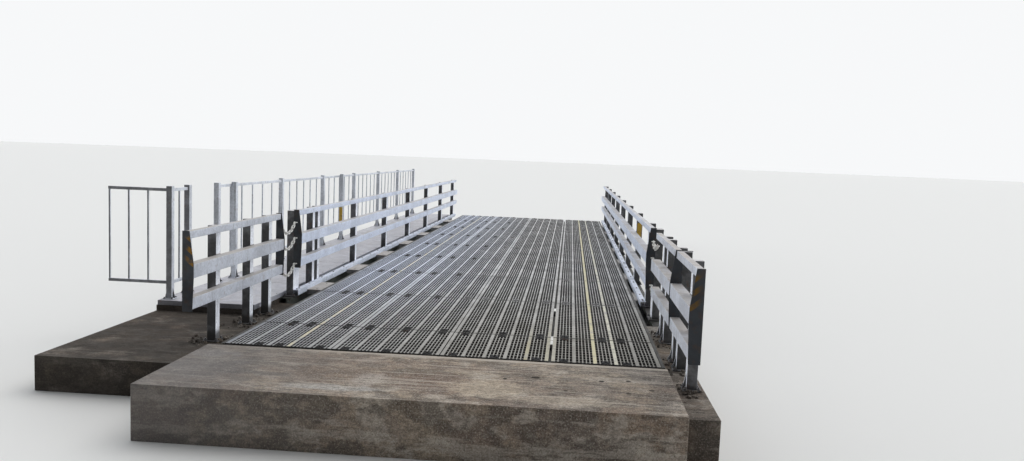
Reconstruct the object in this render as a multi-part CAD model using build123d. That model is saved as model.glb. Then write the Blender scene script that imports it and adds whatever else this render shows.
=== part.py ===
from build123d import *
import math
import os

# Maintenance walkway of steel grating between three-rail guardrails, with a side strip and a fence.
# Millimetres, Z up. While it is drawn, X is 0 on the deck's centre line, Y is 0 at the deck's near
# edge and Z is 0 on the ground, and Y runs along the walkway. Each piece is moved last, so that the
# origin ends up in the middle of the underside.

# Deck: lanes of grating panels
LANE_COUNT = 4
PANEL_WIDTH = 900
PANEL_LENGTH = 1800
FIRST_PANEL_LENGTH = 900
LONG_ROW_COUNT = 8
PANEL_DEPTH = 50
PANEL_GAP = 10
WIDE_GAP = 24
WIDE_GAP_LANE = 3
BAND_WIDTH = 30
CELLS_PER_PANEL = 5
CROSS_BAR_WIDTH = 8
CROSS_BAR_PITCH = 1800

# Beams that carry the deck
CROSS_BEAM_HEIGHT = 200
CROSS_BEAM_WIDTH = 100
CROSS_BEAM_WEB = 6
CROSS_BEAM_FLANGE = 9
STRINGER_HEIGHT = 150
STRINGER_WIDTH = 75
STRINGER_WEB = 6
STRINGER_FLANGE = 8
SHORT_BEAM_PLACES = (90, 1100)
FIRST_BEAM_PLACE = 3100
LAST_BEAM_MARGIN = 200
BAY_COUNT = 6
BEAM_END_MARGIN = 60

# Guardrail lines: from the deck's edge to the walkway side of the posts
LEFT_POST_GAP = 275
RIGHT_POST_GAP = 130
POST_DEPTH = 78
POST_WIDTH = 85
POST_WALL = 5
POST_BELOW_RAIL_TOP = 7
BASE_PLATE_SIDE = 140
BASE_PLATE_THICKNESS = 12
POST_BEAM_WIDTH = 100
END_POST_WIDTH = 190
GUSSET_HEIGHT = 120
GUSSET_DEPTH = 26
GUSSET_THICKNESS = 8

# Rails: each level is that of the rail's top above the deck
RAIL_WALL = 4
TOP_RAIL_LEVEL = 935
TOP_RAIL_HEIGHT = 60
TOP_RAIL_DEPTH = 52
MIDDLE_RAIL_LEVEL = 670
MIDDLE_RAIL_HEIGHT = 114
MIDDLE_RAIL_DEPTH = 88
LOWER_RAIL_LEVEL = 395
LOWER_RAIL_HEIGHT = 95
LOWER_RAIL_DEPTH = 77

# End plates that close the rails
END_PLATE_THICKNESS = 9
END_PLATE_FOOT = 285
END_PLATE_LIP = 6

# Places along the walkway, from the deck's near edge
LEFT_NEAR_START = -180
LEFT_NEAR_POSTS = (500, 1280, 1780)
LEFT_NEAR_END = 1945
LEFT_GATE = 555
LEFT_FIRST_POST = 3230
LEFT_SPLICE_POST = 3430
RIGHT_NEAR_START = -1010
RIGHT_NEAR_JOINT = 110
RIGHT_NEAR_POSTS = (-420, 170, 450, 1140, 1440)
RIGHT_NEAR_END = 1700
RIGHT_GATE = 500
RIGHT_FIRST_POST = 3050
RIGHT_BAY_COUNT = 7
LAST_POST_MARGIN = 70

# Kerbs under the far rails
KERB_HEIGHT = 62
KERB_DEPTH = 62
KERB_WALL = 6
KERB_TOP_LEVEL = 30
RIGHT_KERB_SETBACK = 700

# Edge strips beside the grating
EDGE_STRIP_WIDTH = 26
EDGE_STRIP_DEPTH = 60
EDGE_STRIP_WALL = 5

# Concrete
SLAB_LENGTH = 1260
SLAB_THICKNESS = 160
SLAB_WALL = 200
SLAB_LEFT_MARGIN = 115
SLAB_RIGHT_MARGIN = 40
SLAB_TO_DECK = 35
PLINTH_START_MARGIN = 130
LEFT_PLINTH_DROP = 110
LEFT_PLINTH_MARGIN = 80
RIGHT_PLINTH_MARGIN = 300
SIDE_BEAM_MARGIN = 160

# Side strip and picket fence on the left
FENCE_TO_POST_FACE = 1075
FENCE_HEIGHT = 1185
FENCE_POST_SIDE = 60
FENCE_POST_WALL = 4
FENCE_FOOT_SIDE = 110
FENCE_FOOT_THICKNESS = 8
FENCE_RAIL_HEIGHT = 32
FENCE_RAIL_DEPTH = 30
FENCE_TOP_RAIL_DROP = 24
FENCE_LOW_RAIL_LEVEL = 188
PICKET_SIDE = 16
PICKETS_PER_PANEL = 5
SHORT_PANEL_START = 1780
SHORT_PANEL_LENGTH = 400
SHORT_PANEL_PICKETS = 1
RETURN_PANEL_LENGTH = 635
RETURN_PICKETS = 3
FIRST_PANEL_START = 2930
PROP_OFFSET = 400
PROP_BAY = 2
STRIP_PLATE_THICKNESS = 6
STRIP_EDGE_DEPTH = 50
STRIP_START = 1660
STRIP_JOINT_GAP = 6
STRIP_TO_POSTS = 40
BEARER_INSET = 30

# Chains across the gaps in the guardrail
LINK_LENGTH = 64
LINK_WIDTH = 36
LINK_WIRE = 9
LINK_PLAY = 0.6
LINK_CORNER = 0.55
LINK_INNER_CORNER = 0.4
CHAIN_SAG = 75
CHAIN_INSET = 30
CHAIN_LEVELS = (800, 625, 335)

# Marker plates on posts
MARKER_WIDTH = 60
MARKER_HEIGHT = 205
MARKER_THICKNESS = 3
MARKER_LEVEL = 590
FENCE_MARKER_HEIGHT = 310
FENCE_MARKER_LEVEL = 280

# How far cutters and joined bars reach into each other
OVERLAP = 1

# Worked out from the values above
POST_SEAT = CROSS_BEAM_HEIGHT + STRINGER_HEIGHT
DECK_TOP = POST_SEAT + PANEL_DEPTH
DECK_HALF = LANE_COUNT * PANEL_WIDTH / 2
DECK_LENGTH = FIRST_PANEL_LENGTH + LONG_ROW_COUNT * PANEL_LENGTH
LEFT_POST_FACE = DECK_HALF + LEFT_POST_GAP
RIGHT_POST_FACE = DECK_HALF + RIGHT_POST_GAP
FENCE_LINE = LEFT_POST_FACE + FENCE_TO_POST_FACE
SLAB_LEFT = DECK_HALF + SLAB_LEFT_MARGIN
SLAB_RIGHT = DECK_HALF + SLAB_RIGHT_MARGIN
LEFT_FAR_START = LEFT_NEAR_END + LEFT_GATE
RIGHT_FAR_START = RIGHT_NEAR_END + RIGHT_GATE
LEFT_PLINTH_END = LEFT_FAR_START - LEFT_PLINTH_MARGIN
RIGHT_PLINTH_END = RIGHT_FAR_START - RIGHT_PLINTH_MARGIN
SIDE_BEAM_PLACE = RIGHT_PLINTH_END + SIDE_BEAM_MARGIN
BAY_LENGTH = (DECK_LENGTH - LAST_BEAM_MARGIN - FIRST_BEAM_PLACE) / BAY_COUNT
BEAM_PLACES = [FIRST_BEAM_PLACE + i * BAY_LENGTH for i in range(BAY_COUNT + 1)]
BEAM_LEFT = FENCE_LINE + FENCE_POST_SIDE / 2 + BEAM_END_MARGIN
BEAM_RIGHT = RIGHT_POST_FACE + POST_DEPTH + BEAM_END_MARGIN
RAILS = {
    "top": (TOP_RAIL_LEVEL, TOP_RAIL_HEIGHT, TOP_RAIL_DEPTH),
    "middle": (MIDDLE_RAIL_LEVEL, MIDDLE_RAIL_HEIGHT, MIDDLE_RAIL_DEPTH),
    "lower": (LOWER_RAIL_LEVEL, LOWER_RAIL_HEIGHT, LOWER_RAIL_DEPTH),
}
PROP_PLACES = (FIRST_PANEL_START + PROP_OFFSET, BEAM_PLACES[PROP_BAY] + BAY_LENGTH / 2)
LEFT = -1
RIGHT = 1
FACE = {LEFT: LEFT_POST_FACE, RIGHT: RIGHT_POST_FACE}
FAR_START = {LEFT: LEFT_FAR_START, RIGHT: RIGHT_FAR_START}
PROP_LINE = FENCE_LINE - FENCE_RAIL_DEPTH / 2 - FENCE_POST_SIDE / 2
STRIP_INNER = LEFT_POST_FACE + POST_DEPTH + STRIP_TO_POSTS
STRIP_OUTER = FENCE_LINE + FENCE_FOOT_SIDE / 2 + BEAM_END_MARGIN / 3
RETURN_END = FENCE_LINE + FENCE_POST_SIDE / 2 + RETURN_PANEL_LENGTH
MID_X = (BEAM_RIGHT - RETURN_END) / 2
MID_Y = (DECK_LENGTH - SLAB_LENGTH) / 2


def block(x0, x1, y0, y1, z0, z1):
    """Return a rectangular solid between two corners, given in any order along X."""
    size = (abs(x1 - x0), y1 - y0, z1 - z0)
    centre = ((x0 + x1) / 2, (y0 + y1) / 2, (z0 + z1) / 2)
    return Pos(*centre) * Box(*size)


def prism_along_y(points, y0, y1):
    """Return a solid whose outline in X and Z runs from y0 to y1."""
    face = Plane((0, y0, 0), x_dir=(1, 0, 0), z_dir=(0, -1, 0)) * make_face(Polyline(*points, close=True))
    return extrude(face, amount=y0 - y1)


def i_section(width, height, web, flange):
    """Return the points of an I section, its foot at height 0 and its web on 0."""
    w = width / 2
    t = web / 2
    return [
        (-w, 0), (w, 0), (w, flange), (t, flange),
        (t, height - flange), (w, height - flange), (w, height), (-w, height),
        (-w, height - flange), (-t, height - flange), (-t, flange), (-w, flange),
    ]


def cross_beam(x0, x1, y):
    """Return a beam across the walkway, standing on the ground."""
    points = i_section(CROSS_BEAM_WIDTH, CROSS_BEAM_HEIGHT, CROSS_BEAM_WEB, CROSS_BEAM_FLANGE)
    face = Plane((x0, y, 0), x_dir=(0, 1, 0), z_dir=(1, 0, 0)) * make_face(Polyline(*points, close=True))
    return extrude(face, amount=x1 - x0)


def stringer(x, y0, y1, width=STRINGER_WIDTH):
    """Return a beam along the walkway, on top of the cross beams."""
    points = i_section(width, STRINGER_HEIGHT, STRINGER_WEB, STRINGER_FLANGE)
    return Pos(x, 0, CROSS_BEAM_HEIGHT) * prism_along_y(points, y0, y1)


def cross_beams():
    """Return the short beams near the slab, the one that reaches the right posts, and the full ones."""
    beams = [cross_beam(-DECK_HALF, DECK_HALF, y) for y in SHORT_BEAM_PLACES]
    beams.append(cross_beam(-DECK_HALF, BEAM_RIGHT, SIDE_BEAM_PLACE))
    beams += [cross_beam(-BEAM_LEFT, BEAM_RIGHT, y) for y in BEAM_PLACES]
    return beams


def grating_panel(left, right, y0, y1):
    """Return one open grating panel: bands lengthways and bars across."""
    low = DECK_TOP - PANEL_DEPTH
    start = y0 + PANEL_GAP / 2
    stop = y1 - PANEL_GAP / 2
    pitch = (right - left - BAND_WIDTH) / CELLS_PER_PANEL
    spaces = max(1, round((stop - start) / CROSS_BAR_PITCH))
    space = (stop - start - CROSS_BAR_WIDTH * (spaces + 1)) / spaces
    panel = block(left, right, start, stop, low, DECK_TOP)
    holes = []
    for cell in range(CELLS_PER_PANEL):
        hole_x = left + cell * pitch + BAND_WIDTH
        for i in range(spaces):
            hole_y = start + CROSS_BAR_WIDTH + i * (space + CROSS_BAR_WIDTH)
            holes.append(block(hole_x, hole_x + pitch - BAND_WIDTH, hole_y, hole_y + space,
                               low - OVERLAP, DECK_TOP + OVERLAP))
    return panel - holes


def deck_row(y0, y1):
    """Return the panels side by side in one row."""
    lines = [-DECK_HALF + lane * PANEL_WIDTH for lane in range(LANE_COUNT + 1)]
    gaps = [WIDE_GAP if lane == WIDE_GAP_LANE else PANEL_GAP for lane in range(LANE_COUNT + 1)]
    return [
        grating_panel(lines[lane] + gaps[lane] / 2, lines[lane + 1] - gaps[lane + 1] / 2, y0, y1)
        for lane in range(LANE_COUNT)
    ]


def edge_strip(side):
    """Return the angle along one side of the grating, its top level with the deck."""
    x0 = side * DECK_HALF
    x1 = side * (DECK_HALF + EDGE_STRIP_WIDTH)
    inner = side * (DECK_HALF + EDGE_STRIP_WALL)
    low = DECK_TOP - EDGE_STRIP_DEPTH
    outside = block(x0, x1, 0, DECK_LENGTH, low, DECK_TOP)
    inside = block(inner, x1 + side * OVERLAP, -OVERLAP, DECK_LENGTH + OVERLAP,
                   low - OVERLAP, DECK_TOP - EDGE_STRIP_WALL)
    return outside - inside


def guard_post(side, y, foot, width=POST_WIDTH):
    """Return a hollow post on its base plate, its walkway side on the guardrail's line."""
    x0 = side * FACE[side]
    x1 = side * (FACE[side] + POST_DEPTH)
    wall = side * POST_WALL
    top = DECK_TOP + TOP_RAIL_LEVEL - POST_BELOW_RAIL_TOP
    seat = foot + BASE_PLATE_THICKNESS
    post = block(x0, x1, y - width / 2, y + width / 2, seat, top)
    inside = width / 2 - POST_WALL
    post -= block(x0 + wall, x1 - wall, y - inside, y + inside, seat - OVERLAP, top - POST_WALL)
    middle = (x0 + x1) / 2
    half = BASE_PLATE_SIDE / 2
    reach = half + (width - POST_WIDTH) / 2
    plate = block(middle - half, middle + half, y - reach, y + reach, foot, seat)
    return post + plate


def braced_post(side, y, foot):
    """Return a post with a triangular gusset between its walkway side and its base plate."""
    face = side * FACE[side]
    seat = foot + BASE_PLATE_THICKNESS
    points = [(face, seat), (face - side * GUSSET_DEPTH, seat), (face, seat + GUSSET_HEIGHT)]
    if side == RIGHT:
        points.reverse()
    gusset = prism_along_y(points, y - GUSSET_THICKNESS / 2, y + GUSSET_THICKNESS / 2)
    return guard_post(side, y, foot) + gusset


def rail(side, kind, y0, y1):
    """Return one hollow rail on the walkway side of the posts."""
    level, height, depth = RAILS[kind]
    outer = side * FACE[side]
    inner = side * (FACE[side] - depth)
    wall = side * RAIL_WALL
    top = DECK_TOP + level
    tube = block(outer, inner, y0, y1, top - height, top)
    inside = block(outer - wall, inner + wall, y0 - OVERLAP, y1 + OVERLAP,
                   top - height + RAIL_WALL, top - RAIL_WALL)
    return tube - inside


def rails(side, kinds, y0, y1):
    """Return the named rails of one section between its end plates."""
    return [rail(side, kind, y0, y1) for kind in kinds]


def end_plate(side, y):
    """Return the plate that closes the rails: narrow at its top, widest at the middle rail."""
    face = FACE[side]
    widest = face - MIDDLE_RAIL_DEPTH - END_PLATE_LIP
    points = [
        (side * face, DECK_TOP + END_PLATE_FOOT),
        (side * (face - LOWER_RAIL_DEPTH - END_PLATE_LIP), DECK_TOP + END_PLATE_FOOT),
        (side * widest, DECK_TOP + MIDDLE_RAIL_LEVEL - MIDDLE_RAIL_HEIGHT),
        (side * widest, DECK_TOP + MIDDLE_RAIL_LEVEL),
        (side * (face - TOP_RAIL_DEPTH - END_PLATE_LIP), DECK_TOP + TOP_RAIL_LEVEL + END_PLATE_LIP),
        (side * face, DECK_TOP + TOP_RAIL_LEVEL + END_PLATE_LIP),
    ]
    if side == RIGHT:
        points.reverse()
    return prism_along_y(points, y, y + END_PLATE_THICKNESS)


def kerb(side, y0, y1):
    """Return the angle beam at the posts' feet."""
    outer = side * FACE[side]
    inner = side * (FACE[side] - KERB_DEPTH)
    top = DECK_TOP + KERB_TOP_LEVEL
    low = top - KERB_HEIGHT
    beam = block(outer, inner, y0, y1, low, top)
    inside = block(outer + side * OVERLAP, inner + side * KERB_WALL, y0 - OVERLAP, y1 + OVERLAP,
                   low - OVERLAP, top - KERB_WALL)
    return beam - inside


def chain_link(start, stop, roll):
    """Return one link between two joints. Its bars lie just outside them."""
    half = LINK_LENGTH / 2
    side = LINK_WIDTH / 2
    rings = []
    for inset in (0, LINK_WIRE):
        x, y = half - inset, side - inset
        corner = side * LINK_CORNER - inset * LINK_INNER_CORNER
        rings.append([(-x, -y + corner), (-x + corner, -y), (x - corner, -y), (x, -y + corner),
                      (x, y - corner), (x - corner, y), (-x + corner, y), (-x, y - corner)])
    outline = make_face(Polyline(*rings[0], close=True)) - make_face(Polyline(*rings[1], close=True))
    ring = Pos(0, 0, -LINK_WIRE / 2) * extrude(outline, amount=LINK_WIRE)
    run = stop - start
    angle = math.degrees(math.atan2(run.Z, run.Y))
    return Pos(*((start + stop) / 2)) * Rot(angle, 0, 0) * Rot(0, 0, 90) * Rot(roll, 0, 0) * ring


def chain_joints(y0, y1, count, pitch):
    """Return where the links of a hanging chain join, as distance along and drop."""
    steps = 400
    halvings = 40

    def arc(sag):
        points = []
        for i in range(steps + 1):
            t = i / steps
            points.append((y0 + t * (y1 - y0), -4 * sag * t * (1 - t)))
        lengths = [0]
        for a, b in zip(points, points[1:]):
            lengths.append(lengths[-1] + math.hypot(b[0] - a[0], b[1] - a[1]))
        return points, lengths

    low, high = 0, 2 * (y1 - y0)
    for _ in range(halvings):
        sag = (low + high) / 2
        points, lengths = arc(sag)
        if lengths[-1] < count * pitch:
            low = sag
        else:
            high = sag
    joints = []
    for i in range(count + 1):
        target = lengths[-1] * i / count
        index = min(range(steps + 1), key=lambda k: abs(lengths[k] - target))
        joints.append(points[index])
    return joints


def chain(side, y0, y1, level):
    """Return a chain that hangs between two end plates, with a fixed eye at each end."""
    x = side * (FACE[side] - CHAIN_INSET)
    z = DECK_TOP + level
    pitch = LINK_LENGTH - 2 * LINK_WIRE - LINK_PLAY
    eye = LINK_LENGTH - LINK_WIRE
    first, last = y0 + eye, y1 - eye
    span = last - first
    length = span + 8 * CHAIN_SAG ** 2 / (3 * span)
    count = 2 * round((length / pitch - 1) / 2) + 1
    links = [chain_link(Vector(x, y0 + LINK_WIRE, z), Vector(x, first, z), 0)]
    joints = [Vector(x, y, z + drop) for y, drop in chain_joints(first, last, count, pitch)]
    for i, (a, b) in enumerate(zip(joints, joints[1:])):
        links.append(chain_link(a, b, 90 * ((i + 1) % 2)))
    links.append(chain_link(Vector(x, last, z), Vector(x, y1 - LINK_WIRE, z), 0))
    return links


def approach_slab():
    """Return the concrete slab before the deck, with a wall under each long edge."""
    y0, y1 = -SLAB_LENGTH, -SLAB_TO_DECK
    solid = block(-SLAB_LEFT, SLAB_RIGHT, y0, y1, 0, DECK_TOP)
    under = block(-SLAB_LEFT - OVERLAP, SLAB_RIGHT + OVERLAP, y0 + SLAB_WALL, y1 - SLAB_WALL,
                  -OVERLAP, DECK_TOP - SLAB_THICKNESS)
    return solid - under


def left_plinth():
    """Return the concrete ledge under the left near posts and the start of the side strip."""
    start = LEFT_NEAR_START - PLINTH_START_MARGIN
    ledge = block(-BEAM_LEFT, -SLAB_LEFT, start, LEFT_PLINTH_END, 0, DECK_TOP - LEFT_PLINTH_DROP)
    step = block(-BEAM_LEFT, -STRIP_INNER, STRIP_START, LEFT_PLINTH_END, 0, DECK_TOP - STRIP_EDGE_DEPTH)
    return ledge + step


def right_plinth():
    """Return the concrete ledge under the right near posts."""
    start = RIGHT_NEAR_START - PLINTH_START_MARGIN
    return block(SLAB_RIGHT, BEAM_RIGHT, start, RIGHT_PLINTH_END, 0, POST_SEAT)


def strip_pan(y0, y1):
    """Return one plate of the side strip, its edges folded down."""
    outer = block(-STRIP_OUTER, -STRIP_INNER, y0, y1, DECK_TOP - STRIP_EDGE_DEPTH, DECK_TOP)
    t = STRIP_PLATE_THICKNESS
    return outer - block(-STRIP_OUTER + t, -STRIP_INNER - t, y0 + t, y1 - t,
                         DECK_TOP - STRIP_EDGE_DEPTH - OVERLAP, DECK_TOP - t)


def fence_post(y, x=-FENCE_LINE):
    """Return a hollow fence post on its foot plate."""
    half = FENCE_POST_SIDE / 2
    foot = FENCE_FOOT_SIDE / 2
    seat = DECK_TOP + FENCE_FOOT_THICKNESS
    top = DECK_TOP + FENCE_HEIGHT
    inside = half - FENCE_POST_WALL
    post = block(x - half, x + half, y - half, y + half, seat, top)
    post -= block(x - inside, x + inside, y - inside, y + inside, seat - OVERLAP, top - FENCE_POST_WALL)
    return post + block(x - foot, x + foot, y - foot, y + foot, DECK_TOP, seat)


def fence_panel(y0, y1, pickets):
    """Return one panel between two posts: two rails and the pickets that join them."""
    half = FENCE_RAIL_DEPTH / 2
    start = y0 + FENCE_POST_SIDE / 2
    stop = y1 - FENCE_POST_SIDE / 2
    top = DECK_TOP + FENCE_HEIGHT - FENCE_TOP_RAIL_DROP
    low = DECK_TOP + FENCE_LOW_RAIL_LEVEL
    x = -FENCE_LINE
    panel = block(x - half, x + half, start, stop, top - FENCE_RAIL_HEIGHT, top)
    panel += block(x - half, x + half, start, stop, low - FENCE_RAIL_HEIGHT, low)
    side = PICKET_SIDE / 2
    pitch = (stop - start) / (pickets + 1)
    picket_top = top - FENCE_RAIL_HEIGHT + OVERLAP
    for i in range(pickets):
        y = start + (i + 1) * pitch
        panel += block(x - side, x + side, y - side, y + side, low - OVERLAP, picket_top)
    return panel


def return_panel():
    """Return the panel that runs outward from the first fence post: two rails, pickets and an end bar."""
    half = FENCE_RAIL_DEPTH / 2
    inner = -FENCE_LINE - FENCE_POST_SIDE / 2
    y = SHORT_PANEL_START
    top = DECK_TOP + FENCE_HEIGHT - FENCE_TOP_RAIL_DROP
    low = DECK_TOP + FENCE_LOW_RAIL_LEVEL
    panel = block(-RETURN_END, inner, y - half, y + half, top - FENCE_RAIL_HEIGHT, top)
    panel += block(-RETURN_END, inner, y - half, y + half, low - FENCE_RAIL_HEIGHT, low)
    side = PICKET_SIDE / 2
    pitch = (RETURN_PANEL_LENGTH - side) / RETURN_PICKETS
    picket_top = top - FENCE_RAIL_HEIGHT + OVERLAP
    for i in range(RETURN_PICKETS):
        x = inner - (i + 1) * pitch
        panel += block(x - side, x + side, y - side, y + side, low - OVERLAP, picket_top)
    return panel


def marker(x, near, level, height):
    """Return a marker plate on the near side of a post."""
    half = MARKER_WIDTH / 2
    low = DECK_TOP + level
    return block(x - half, x + half, near - MARKER_THICKNESS, near, low, low + height)


def marker_plates():
    """Return the plate on the second far post on the right, and the one on the last fence prop."""
    post_x = RIGHT_POST_FACE + POST_DEPTH / 2
    post_near = far_post_places(RIGHT)[1] - POST_WIDTH / 2
    prop_near = PROP_PLACES[-1] - FENCE_POST_SIDE / 2
    return [
        marker(post_x, post_near, MARKER_LEVEL, MARKER_HEIGHT),
        marker(-PROP_LINE, prop_near, FENCE_MARKER_LEVEL, FENCE_MARKER_HEIGHT),
    ]


def far_post_places(side):
    """Return where the far posts of one side stand, without the wide end post."""
    if side == LEFT:
        places = [LEFT_FIRST_POST + i * BAY_LENGTH for i in range(BAY_COUNT)]
        places.insert(1, LEFT_SPLICE_POST)
        return places + [DECK_LENGTH - LAST_POST_MARGIN]
    bay = (DECK_LENGTH - LAST_POST_MARGIN - RIGHT_FIRST_POST) / RIGHT_BAY_COUNT
    return [RIGHT_FIRST_POST + i * bay for i in range(RIGHT_BAY_COUNT + 1)]


def far_posts(side):
    """Return the posts of a far section, its wide end post first."""
    end = FAR_START[side] + END_PLATE_THICKNESS + END_POST_WIDTH / 2
    posts = [guard_post(side, end, POST_SEAT, END_POST_WIDTH)]
    posts += [guard_post(side, y, POST_SEAT) for y in far_post_places(side)]
    return posts


def export_all(nodes):
    """Move every node to the part's origin and write it."""
    os.makedirs("parts", exist_ok=True)
    for name, solids in nodes.items():
        items = solids if isinstance(solids, list) else [solids]
        moved = [Pos(-MID_X, -MID_Y, 0) * item for item in items]
        shape = moved[0] if len(moved) == 1 else Compound(children=moved)
        export_step(shape, f"parts/{name}.step")


def build():
    """Return every node by name."""
    nodes = {}
    nodes["approach_slab"] = approach_slab()
    nodes["left_plinth"] = left_plinth()
    nodes["right_plinth"] = right_plinth()
    nodes["cross_beams"] = cross_beams()
    edge = DECK_HALF - STRINGER_WIDTH / 2
    nodes["edge_stringers"] = [stringer(x, 0, DECK_LENGTH) for x in (-edge, edge)]
    lanes = [-DECK_HALF + lane * PANEL_WIDTH for lane in range(1, LANE_COUNT)]
    nodes["inner_stringers"] = [stringer(x, 0, DECK_LENGTH) for x in lanes]
    left_line = -LEFT_POST_FACE - POST_DEPTH / 2
    right_line = RIGHT_POST_FACE + POST_DEPTH / 2
    nodes["post_beams"] = [
        stringer(left_line, LEFT_PLINTH_END, DECK_LENGTH, POST_BEAM_WIDTH),
        stringer(right_line, RIGHT_PLINTH_END, DECK_LENGTH, POST_BEAM_WIDTH),
    ]
    y = 0
    for row in range(LONG_ROW_COUNT + 1):
        length = PANEL_LENGTH if row else FIRST_PANEL_LENGTH
        nodes[f"deck_row_{row + 1}"] = deck_row(y, y + length)
        y += length
    nodes["edge_strips"] = [edge_strip(LEFT), edge_strip(RIGHT)]
    nodes["kerbs"] = [
        kerb(LEFT, LEFT_FAR_START, DECK_LENGTH),
        kerb(RIGHT, RIGHT_FAR_START + RIGHT_KERB_SETBACK, DECK_LENGTH),
    ]

    t = END_PLATE_THICKNESS
    nodes["left_near_posts"] = [guard_post(LEFT, y, DECK_TOP - LEFT_PLINTH_DROP) for y in LEFT_NEAR_POSTS]
    nodes["right_near_posts"] = [braced_post(RIGHT, y, POST_SEAT) for y in RIGHT_NEAR_POSTS]
    nodes["left_far_posts"] = far_posts(LEFT)
    nodes["right_far_posts"] = far_posts(RIGHT)
    nodes["left_near_rails"] = rails(LEFT, RAILS, LEFT_NEAR_START + t, LEFT_NEAR_END - t)
    nodes["right_near_rails"] = (
        rails(RIGHT, RAILS, RIGHT_NEAR_START + t, RIGHT_NEAR_JOINT)
        + rails(RIGHT, RAILS, RIGHT_NEAR_JOINT + t, RIGHT_NEAR_END)
    )
    for side, name in ((LEFT, "left"), (RIGHT, "right")):
        for kind in RAILS:
            nodes[f"{name}_{kind}_rail"] = rail(side, kind, FAR_START[side] + t, DECK_LENGTH)
    nodes["left_end_plates"] = [
        end_plate(LEFT, LEFT_NEAR_START),
        end_plate(LEFT, LEFT_NEAR_END - t),
        end_plate(LEFT, LEFT_FAR_START),
    ]
    nodes["right_end_plates"] = [
        end_plate(RIGHT, RIGHT_NEAR_START),
        end_plate(RIGHT, RIGHT_NEAR_JOINT),
        end_plate(RIGHT, RIGHT_FAR_START),
    ]

    bearer_lines = (-STRIP_INNER - BEARER_INSET, -STRIP_OUTER + BEARER_INSET)
    nodes["strip_bearers"] = [stringer(x, LEFT_PLINTH_END, DECK_LENGTH) for x in bearer_lines]
    pans = []
    start = STRIP_START
    for place in BEAM_PLACES[:-1]:
        stop = place
        pans.append(strip_pan(start, stop - STRIP_JOINT_GAP))
        start = stop
    pans.append(strip_pan(start, DECK_LENGTH))
    nodes["side_strip"] = pans

    short_stop = SHORT_PANEL_START + SHORT_PANEL_LENGTH
    places = [FIRST_PANEL_START] + BEAM_PLACES[1:]
    nodes["fence_posts"] = [fence_post(y) for y in [SHORT_PANEL_START, short_stop] + places]
    nodes["fence_posts"] += [fence_post(y, -PROP_LINE) for y in PROP_PLACES]
    nodes["fence_short_panel"] = [
        fence_panel(SHORT_PANEL_START, short_stop, SHORT_PANEL_PICKETS),
        return_panel(),
    ]
    for i in range(BAY_COUNT):
        nodes[f"fence_panel_{i + 1}"] = fence_panel(places[i], places[i + 1], PICKETS_PER_PANEL)
    for side, name, stop in ((LEFT, "left", LEFT_NEAR_END), (RIGHT, "right", RIGHT_NEAR_END)):
        links = []
        for level in CHAIN_LEVELS:
            links += chain(side, stop, FAR_START[side], level)
        nodes[f"{name}_chains"] = links
    nodes["marker_plates"] = marker_plates()
    return nodes


export_all(build())
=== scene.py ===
"""Looks of the maintenance walkway: finishes, fine grating, fixings, light and camera."""

import logging
import math
import random
from collections.abc import Iterable
from dataclasses import dataclass, field, replace
from enum import Enum
from functools import cache

import bpy
from mathutils import Matrix, Vector


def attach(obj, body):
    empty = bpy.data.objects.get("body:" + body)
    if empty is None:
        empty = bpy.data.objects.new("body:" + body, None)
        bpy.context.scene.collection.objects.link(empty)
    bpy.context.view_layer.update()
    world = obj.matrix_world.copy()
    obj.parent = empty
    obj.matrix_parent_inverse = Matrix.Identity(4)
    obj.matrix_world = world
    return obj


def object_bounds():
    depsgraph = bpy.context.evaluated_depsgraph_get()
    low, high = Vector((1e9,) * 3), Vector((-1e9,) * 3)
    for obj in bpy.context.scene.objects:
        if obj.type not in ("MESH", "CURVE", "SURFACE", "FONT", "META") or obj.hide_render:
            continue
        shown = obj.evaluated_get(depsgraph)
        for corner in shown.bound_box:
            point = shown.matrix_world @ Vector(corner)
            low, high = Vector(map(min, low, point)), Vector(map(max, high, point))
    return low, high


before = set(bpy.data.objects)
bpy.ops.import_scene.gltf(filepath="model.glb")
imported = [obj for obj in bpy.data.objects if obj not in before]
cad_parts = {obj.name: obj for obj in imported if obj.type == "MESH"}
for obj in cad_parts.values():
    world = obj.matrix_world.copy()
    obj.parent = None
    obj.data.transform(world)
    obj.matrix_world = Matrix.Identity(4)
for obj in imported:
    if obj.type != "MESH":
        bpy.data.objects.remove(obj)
cad_low, cad_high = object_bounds()

log = logging.getLogger("walkway")
BODY = "root"
ALONG = Vector((0, 1, 0))
WELD_DIGITS = 4
SORT_DIGITS = 3
WELD_REACH = 0.0001
EDGE_STEPS = 2
EDGE_ANGLE = math.radians(40)

Colour = tuple[float, float, float]
Triple = tuple[float, float, float]
Socket = bpy.types.NodeSocket
Sockets = bpy.types.bpy_prop_collection
Feed = Socket | float | tuple


class Slot(Enum):
    """Material slots of the record."""

    CONCRETE = "concrete"
    DECK = "deck_steel"
    CHAIN = "chain_steel"
    MARKER = "marker_yellow"
    BEAM = "beam_steel"
    STRIP = "strip_plate"
    FENCE = "fence_steel"
    POST = "post_steel"
    END_PLATE = "end_plate_steel"
    RAIL = "rail_steel"


class Side(Enum):
    """The two sides of the walkway, as seen from the slab."""

    LEFT = "left"
    RIGHT = "right"

    @property
    def out(self) -> float:
        """Return the direction away from the walkway's middle, along X."""
        return -1.0 if self is Side.LEFT else 1.0


@dataclass(frozen=True)
class Solid:
    """The box around one closed surface of a CAD node, in metres.

    A closed hollow inside a solid counts as one more surface.
    """

    low: Vector
    high: Vector

    @property
    def centre(self) -> Vector:
        """Return the middle of the box."""
        return (self.low + self.high) / 2

    @property
    def size(self) -> Vector:
        """Return the box's three sides."""
        return self.high - self.low


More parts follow.
